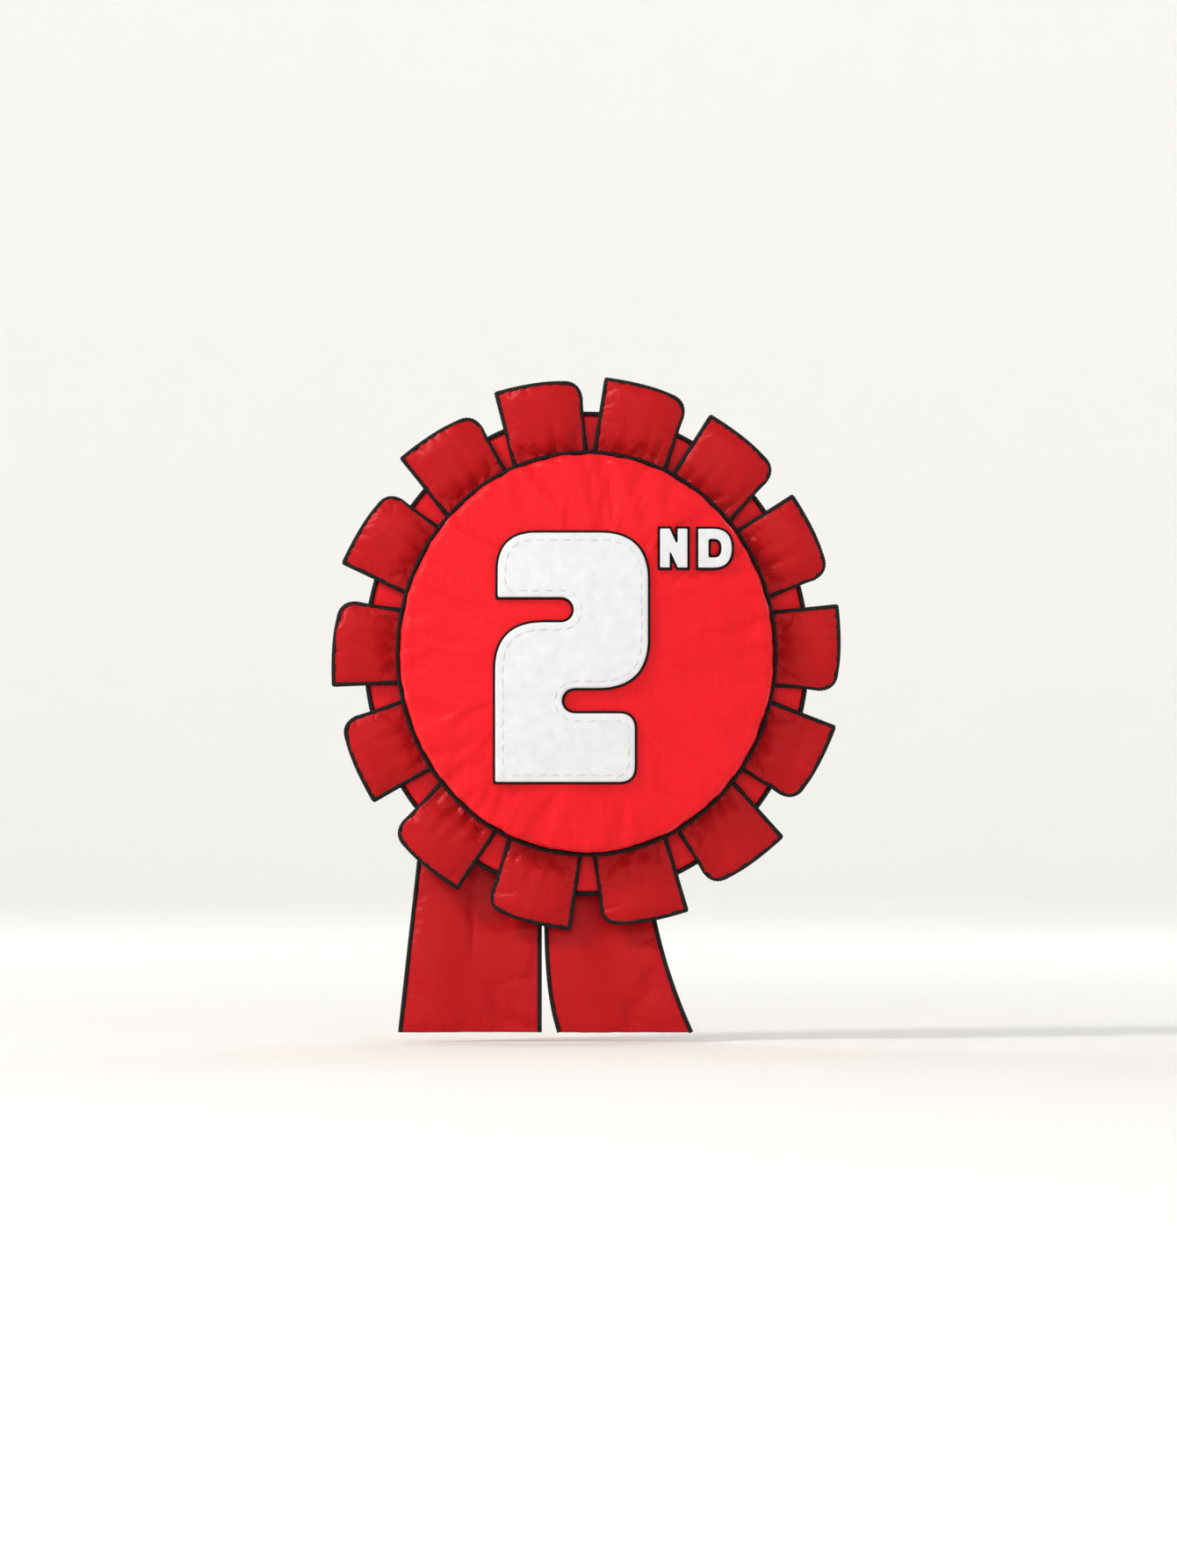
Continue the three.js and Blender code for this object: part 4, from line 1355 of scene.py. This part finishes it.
class ROSETTE_OT_characters(bpy.types.Operator):
    """Make the felt numeral and the two felt letters, each with its black backing"""

    bl_idname = "rosette.characters"
    bl_label = "Numeral and letters"

    def execute(self, context):
        sizes = context.scene.rosette_sizes
        colours = context.scene.rosette_colours
        pale = needled_felt("Pale grey needled felt", colours.pale_grey)
        black = needled_felt("Black needled felt", colours.black)
        thread = wound_thread("Pale grey sewing thread", colours.pale_grey)
        stroke = 2.0
        counter = letter_d(22.2 + stroke, 16.9 + stroke, 6.6 - 2 * stroke, 7.7 - 2 * stroke)
        grow = sizes.outline / MM
        seam = 1.4
        for name, outline, hole, voxel in (
            ("numeral_2", figure_two(), None, 0.26 * MM),
            ("letter_n", letter_n(14.6, 16.9, 5.4, 7.7, 1.9), None, 0.15 * MM),
            ("letter_d", letter_d(22.2, 16.9, 6.6, 7.7), counter, 0.15 * MM),
        ):
            wide = [shifted(outline, -grow)] + ([shifted(hole, grow)] if hole else [])
            narrow = [outline] + ([hole] if hole else [])
            for tone, loops, low, high, felt, slot, node in (
                ("black", wide, 0.0, 0.65 * MM, black, "black_felt", "backing"),
                ("pale", narrow, 0.5 * MM, 1.5 * MM, pale, "pale_grey_felt", "face"),
            ):
                names = f"{name}_{tone}_felt", f"{name}_{node}"
                felt_piece(names[0], loops, low, high, voxel, felt, slot, names[1])
            if name == "numeral_2":
                running_stitches("numeral_2_stitches", outline, seam, 2.6, 1.8, 1.5 * MM, thread)
        return {"FINISHED"}


# ---------------------------------------------------------------------------------------------
# Tails

TAIL_WIDTH = 28.9 * MM


class TailShape:
    """One tail, from its stapled top to its cut end."""

    def __init__(self, side, sizes):
        self.side = side
        self.sizes = sizes
        self.bend = hinge(f"tail_{side}_swing")
        self.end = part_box(f"tail_{side}")[0].z
        rear, face = layer(f"tail_{side}")
        self.level = (rear + face) / 2
        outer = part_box(f"tail_{side}_outer_edging")
        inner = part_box(f"tail_{side}_inner_edging")
        if side == "left":
            self.far = (outer[1].x - 0.95 * MM, outer[0].x)
            self.near = (inner[1].x, inner[1].x)
            self.far_power, self.near_power = 1, 1
        else:
            self.far = (outer[0].x, outer[1].x)
            self.near = (inner[0].x, inner[0].x + 2.7 * MM)
            self.far_power, self.near_power = 2.3, 6
        self.seed = 11.0 if side == "left" else 23.0

    def edges(self, up):
        """The left and right edge at a height."""
        share = max(0.0, (self.bend.z - up) / (self.bend.z - self.end))
        above = max(0.0, up - self.bend.z)
        far = self.far[0] + (self.far[1] - self.far[0]) * share**self.far_power
        near = self.near[0] + (self.near[1] - self.near[0]) * share**self.near_power
        far -= math.copysign(0.06, far) * above
        return (far, near) if self.side == "left" else (near, far)

    def at(self, s, t):
        """The point at a share across and a share down the tail, and its place on the ribbon."""
        up = self.sizes.tail_top + (self.end - self.sizes.tail_top) * t
        left, right = self.edges(up)
        inset = self.sizes.edging_width / 2 - 0.05 * MM
        x = left + inset + (right - left - 2 * inset) * s
        free = smoothstep(self.bend.z, self.end, up)
        held = 1 - smoothstep(self.bend.z - 30 * MM, self.bend.z, up)
        flutes = 0.3 * MM * math.sin(TURN * (1.6 * s + 0.3) + self.seed) * held
        flutes += 0.9 * MM * math.sin(TURN * (1.15 * s + 0.12) + self.seed) * free * (1 - 0.4 * free)
        broad = 1.5 * MM * noise.noise(Vector((s * 1.2, (up / MM) * 0.032, self.seed))) * free
        sway = (1.5 * math.sin(4.4 * free + self.seed) + 2.2 * free) * MM * free
        curl = 1.2 * MM * (2 * s - 1) ** 2 * free**2
        ripple = 0.14 * MM * noise.noise(Vector((s * 4, (up / MM) * 0.11, self.seed + 3))) * held
        fall = 0.55 * MM * (1 - smoothstep(self.bend.z - 9 * MM, self.bend.z - 1.5 * MM, up))
        out = self.level + flutes + broad + sway + curl + ripple - fall
        return Vector((x, up, out)), ((s - 0.5) * TAIL_WIDTH, up)


class ROSETTE_OT_tails(bpy.types.Operator):
    """Make the two hanging tails with their edgings; each one is shaped to hang free below the back
    card's foot
    """

    bl_idname = "rosette.tails"
    bl_label = "Tails"

    def execute(self, context):
        sizes = context.scene.rosette_sizes
        rows, columns = 132, 48
        tails = [TailShape(side, sizes) for side in ("left", "right")]
        shares = [(c / (columns - 1), r / (rows - 1)) for r in range(rows) for c in range(columns)]
        flat = [[tail.at(s, t)[0] for s, t in shares] for tail in tails]
        grids = puffed(flat, columns, rows, growth=0.022, pressure=-0.6, limit=0.4 * MM)
        for tail, points in zip(tails, grids):
            side = tail.side
            cloth = new_piece(
                f"tail_{side}_ribbon",
                points,
                [face[::-1] for face in grid_faces(rows, columns)],
                None,
                dark_satin(),
                [f"tail_{side}", f"tail_{side}_top"],
                [tail.at(s, t)[1] for s, t in shares],
            )
            thicken(cloth, sizes.ribbon_thickness)
            trims = []
            for edge, s in (("left", 0), ("right", 1)):
                path = [tail.at(s, r / (rows - 1))[0] for r in range(rows)]
                kind = "outer" if edge == side else "inner"
                names = f"tail_{side}_{kind}_overlock", f"tail_{side}_{kind}_edging"
                narrow = sizes.edging_width - 0.1 * MM
                trims.append(overlocked_piece(*names, None, path, sizes, width=narrow))
            for piece in [cloth, *trims]:
                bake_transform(piece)
        return {"FINISHED"}


# ---------------------------------------------------------------------------------------------
# Metal parts


PIN_PLATE = 0.7
EAR_THICKNESS = 0.6
EAR_RADIUS = 1.7
STEM_WIRE = 0.42
RIVET_SHANK = 0.55
CATCH_WALL = 0.6
SLEEVE_BORE = 0.75
SLEEVE_SLOT = 0.65


def pressed_block(name, loops, thickness, bevel, place):
    """A block of pressed metal with softened edges. place(a, b, c) puts its points in the row frame."""
    block = prism(name, loops, thickness * MM)
    soften = block.modifiers.new("Soft edge", "BEVEL")
    soften.limit_method = "ANGLE"
    soften.angle_limit = math.radians(40)
    soften.width = bevel * MM
    soften.segments = 3
    settle(block)
    for v in block.data.vertices:
        v.co = place(*v.co)
    return block


def united(name, blocks):
    """One piece from several blocks."""
    whole = bmesh.new()
    for block in blocks:
        whole.from_mesh(block.data)
        bpy.data.objects.remove(block)
    bmesh.ops.recalc_face_normals(whole, faces=whole.faces)
    mesh = bpy.data.meshes.new(name)
    whole.to_mesh(mesh)
    whole.free()
    piece = bpy.data.objects.new(name, mesh)
    bpy.context.scene.collection.objects.link(piece)
    return piece


def open_tube(bore, outer, half_mouth, middle=-90, steps=40):
    """The outline of a tube's end that has a slot down one side."""
    wide = math.degrees(math.asin(half_mouth / outer))
    narrow = math.degrees(math.asin(half_mouth / bore))
    outside = arc((0, 0), outer, middle + wide, middle + 360 - wide, steps)
    inside = arc((0, 0), bore, middle + 360 - narrow, middle + narrow, steps)
    return outside + inside


def staple_path(low, high, wire):
    """The middle line of a closed staple: a crown behind, two legs and two bent ends in front."""
    left, right = low.x + wire, high.x - wire
    rear, face = -high.y + wire, -low.y - wire
    up = (low.z + high.z) / 2
    bend = 0.45 * MM
    reach = 2.7 * MM
    ends = (left + reach, face), (right - reach, face)
    corners = [ends[0], (left, face), (left, rear), (right, rear), (right, face), ends[1]]
    corners = [Vector((x, up, out)) for x, out in corners]
    line = [corners[0]]
    for before, corner, after in zip(corners, corners[1:], corners[2:]):
        start = corner + (before - corner).normalized() * bend
        end = corner + (after - corner).normalized() * bend
        line += [bezier(start, corner, end, k / 8) for k in range(9)]
    return line + [corners[-1]]


class ROSETTE_OT_metal(bpy.types.Operator):
    """Make the bar pin with its stem and rotating catch, and the two staples"""

    bl_idname = "rosette.metal"
    bl_label = "Pin and staples"

    def execute(self, context):
        plated = nickel_plate()
        pivot = hinge("pin_stem_swing")

        def on_card(a, b, c):
            return Vector((a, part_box("pin_base")[0].y + PIN_PLATE * MM - c, b))

        def along_z(a, b, c):
            return pivot + Vector((a, b, c))

        self.add_base(plated, pivot, on_card)
        self.add_stem(plated, pivot, along_z)
        self.add_catch(plated, pivot)
        for side in ("left", "right"):
            node = f"tail_{side}_staple"
            low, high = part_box(node)
            wire = (high.z - low.z) / 2
            points, faces = swept(
                staple_path(low, high, wire),
                lambda i, a: (wire * math.cos(a), 0.85 * wire * math.sin(a)),
                12,
                facing=Vector((0, 1, 0)),
            )
            new_piece(f"{node}_wire", points, faces, "rosette", plated, [node])
        return {"FINISHED"}

    def add_base(self, plated, pivot, on_card):
        low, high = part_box("pin_base")
        up = (low.z + high.z) / 2 / MM
        half = (high.z - low.z) / 2 / MM
        reach = high.x / MM - half
        bar = arc((reach, up), half, -90, 90, 20) + arc((-reach, up), half, 90, 270, 20)
        holes = [arc((x, up), 1.0, 360, 11.25, 31) for x in (-6, 6)]
        rear = -(pivot.y / MM)
        blocks = [pressed_block("bar", [bar, *holes], PIN_PLATE, 0.12, on_card)]
        left, right = pivot.x / MM - EAR_RADIUS, pivot.x / MM + EAR_RADIUS
        foot = -low.y / MM - PIN_PLATE * 0.7
        ear = [(left, foot)] + arc((pivot.x / MM, rear), EAR_RADIUS, 180, 360, 24) + [(right, foot)]
        bore = arc((pivot.x / MM, rear), RIVET_SHANK + 0.1, 360, 11.25, 31)
        inner = 1.2
        for start in (up + inner, up - inner - EAR_THICKNESS):

            def beside(a, b, c, base=start * MM):
                return Vector((a, -b, c + base))

            blocks.append(pressed_block("ear", [ear, bore], EAR_THICKNESS, 0.1, beside))
        dressed(united("pin_base_pressed", blocks), "rosette", plated, "nickel_plated_steel", "pin_base")

    def add_stem(self, plated, pivot, along_z):
        low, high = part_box("pin_rivet")
        head_radius = (high.x - low.x) / 2
        head_end = (high.z - low.z) / 2
        head_start = head_end - 0.5 * MM
        rim = head_start + 0.12 * MM
        shank = RIVET_SHANK * MM
        half = [(0, head_end)]
        half += [
            (head_radius * math.sin(a), rim + (head_end - rim) * math.cos(a))
            for a in [math.pi / 2 * k / 8 for k in range(1, 9)]
        ]
        half += [(head_radius, head_start), (shank, head_start)]
        profile = [(r, -z) for r, z in half] + half[::-1]
        names = "nickel_plated_steel", "pin_rivet"
        oval_turned("pin_rivet_headed", profile, plated, *names, 1, 40, place=along_z)

        low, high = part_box("pin_stem")
        eye, thick = pivot.x - low.x, (high.z - low.z) / 2
        bore = (RIVET_SHANK + 0.2) * MM
        ring = softened([(bore, -thick), (eye, -thick), (eye, thick), (bore, thick)], 0.3 * MM)
        blocks = []
        shape = bpy.data.meshes.new("eye")
        steps = 48
        points = [
            along_z(r * math.cos(TURN * k / steps), r * math.sin(TURN * k / steps), z)
            for r, z in ring
            for k in range(steps)
        ]
        faces = grid_faces(len(ring), steps, wrap=True)
        last = (len(ring) - 1) * steps
        faces += [(last + k, last + (k + 1) % steps, (k + 1) % steps, k) for k in range(steps)]
        shape.from_pydata(points, [], faces)
        blocks.append(bpy.data.objects.new("eye", shape))
        start, taper, tip = pivot.x + (bore + eye) / 2, high.x - 3 * MM, high.x
        line = [start + (taper - start) * k / 40 for k in range(40)]
        line += [taper + (tip - taper) * k / 16 for k in range(17)]
        path = [Vector((x, pivot.z, -pivot.y)) for x in line]

        def girth(i, angle):
            share = max(0.0, (line[i] - taper) / (tip - taper))
            size = STEM_WIRE * MM * math.sqrt(max(0.004, 1 - share**1.6))
            return size * math.cos(angle), size * math.sin(angle)

        points, faces = swept(path, girth, 20)
        wire = bpy.data.meshes.new("wire")
        wire.from_pydata([front(*p) for p in points], [], faces)
        blocks.append(bpy.data.objects.new("wire", wire))
        dressed(united("pin_stem_wire", blocks), "pin_stem", plated, "nickel_plated_steel", "pin_stem")

    def add_catch(self, plated, pivot):
        low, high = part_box("catch_housing")
        start, length_along = low.x, (high.x - low.x) / MM
        radius = (high.z - low.z) / 2 / MM
        mouth = (high.y - pivot.y) / MM
        bore = radius - CATCH_WALL

        def across(a, b, c):
            return Vector((start + c, pivot.y - b, pivot.z + a))

        cut = math.degrees(math.asin(mouth / radius))
        inner_cut = math.degrees(math.asin(mouth / bore))
        foot = 1.2
        seat = (pivot.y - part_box("pin_base")[0].y) / MM - PIN_PLATE
        shoulder = math.degrees(math.acos(foot / radius))
        outline = arc((0, 0), radius, -cut, shoulder, 20) + [Vector((foot, seat)), Vector((-foot, seat))]
        outline += arc((0, 0), radius, 180 - shoulder, 180 + cut, 20)
        outline += arc((0, 0), bore, 180 + inner_cut, -inner_cut, 40)
        pressed = pressed_block("housing", [outline], length_along, 0.12, across)
        housing = united("catch_housing_pressed", [pressed])
        dressed(housing, "rosette", plated, "nickel_plated_steel", "catch_housing")

        sleeve_radius = 1.45
        tube = open_tube(SLEEVE_BORE, sleeve_radius, SLEEVE_SLOT)
        blocks = [pressed_block("sleeve", [tube], length_along, 0.1, across)]
        middle = start + length_along * MM / 2
        slant = Vector((0, math.sqrt(0.5), -math.sqrt(0.5)))
        thin = Vector((0, math.sqrt(0.5), math.sqrt(0.5)))
        thickness = 0.7
        half, root, tip = 0.8, 1.2, 3.75
        lever = [(-half, root), (half, root)] + arc((0, tip - half), half, 0, 180, 16)

        def slanting(a, b, c):
            middle_line = Vector((middle + a, pivot.y, pivot.z))
            return middle_line + slant * b + thin * (c - thickness * MM / 2)

        blocks.append(pressed_block("lever", [lever], thickness, 0.15, slanting))
        sleeve = united("catch_sleeve_turned", blocks)
        dressed(sleeve, "catch_sleeve", plated, "nickel_plated_steel", "catch_sleeve")


# ---------------------------------------------------------------------------------------------
# The panel and the run

OPERATORS = (
    ROSETTE_OT_stage,
    ROSETTE_OT_petals,
    ROSETTE_OT_under_ribbon,
    ROSETTE_OT_cards,
    ROSETTE_OT_button,
    ROSETTE_OT_characters,
    ROSETTE_OT_tails,
    ROSETTE_OT_metal,
)


class ROSETTE_PT_panel(bpy.types.Panel):
    """Lists the steps that make the rosette"""

    bl_idname = "ROSETTE_PT_panel"
    bl_label = "Award Rosette"
    bl_space_type = "VIEW_3D"
    bl_region_type = "UI"
    bl_category = "Rosette"

    def draw(self, context):
        for step in OPERATORS:
            self.layout.operator(step.bl_idname)
        for group in (context.scene.rosette_sizes, context.scene.rosette_colours):
            box = self.layout.box()
            for name in group.__annotations__:
                box.prop(group, name)


CLASSES = (RosetteSizes, RosetteColours, *OPERATORS, ROSETTE_PT_panel)


def register():
    for item in CLASSES:
        bpy.utils.register_class(item)
    bpy.types.Scene.rosette_sizes = PointerProperty(type=RosetteSizes)
    bpy.types.Scene.rosette_colours = PointerProperty(type=RosetteColours)


def unregister():
    del bpy.types.Scene.rosette_colours
    del bpy.types.Scene.rosette_sizes
    for item in reversed(CLASSES):
        bpy.utils.unregister_class(item)


def main():
    register()
    bpy.ops.rosette.stage()
    bpy.ops.rosette.petals()
    bpy.ops.rosette.under_ribbon()
    bpy.ops.rosette.cards()
    bpy.ops.rosette.button()
    bpy.ops.rosette.characters()
    bpy.ops.rosette.tails()
    bpy.ops.rosette.metal()


if __name__ == "__main__":
    main()
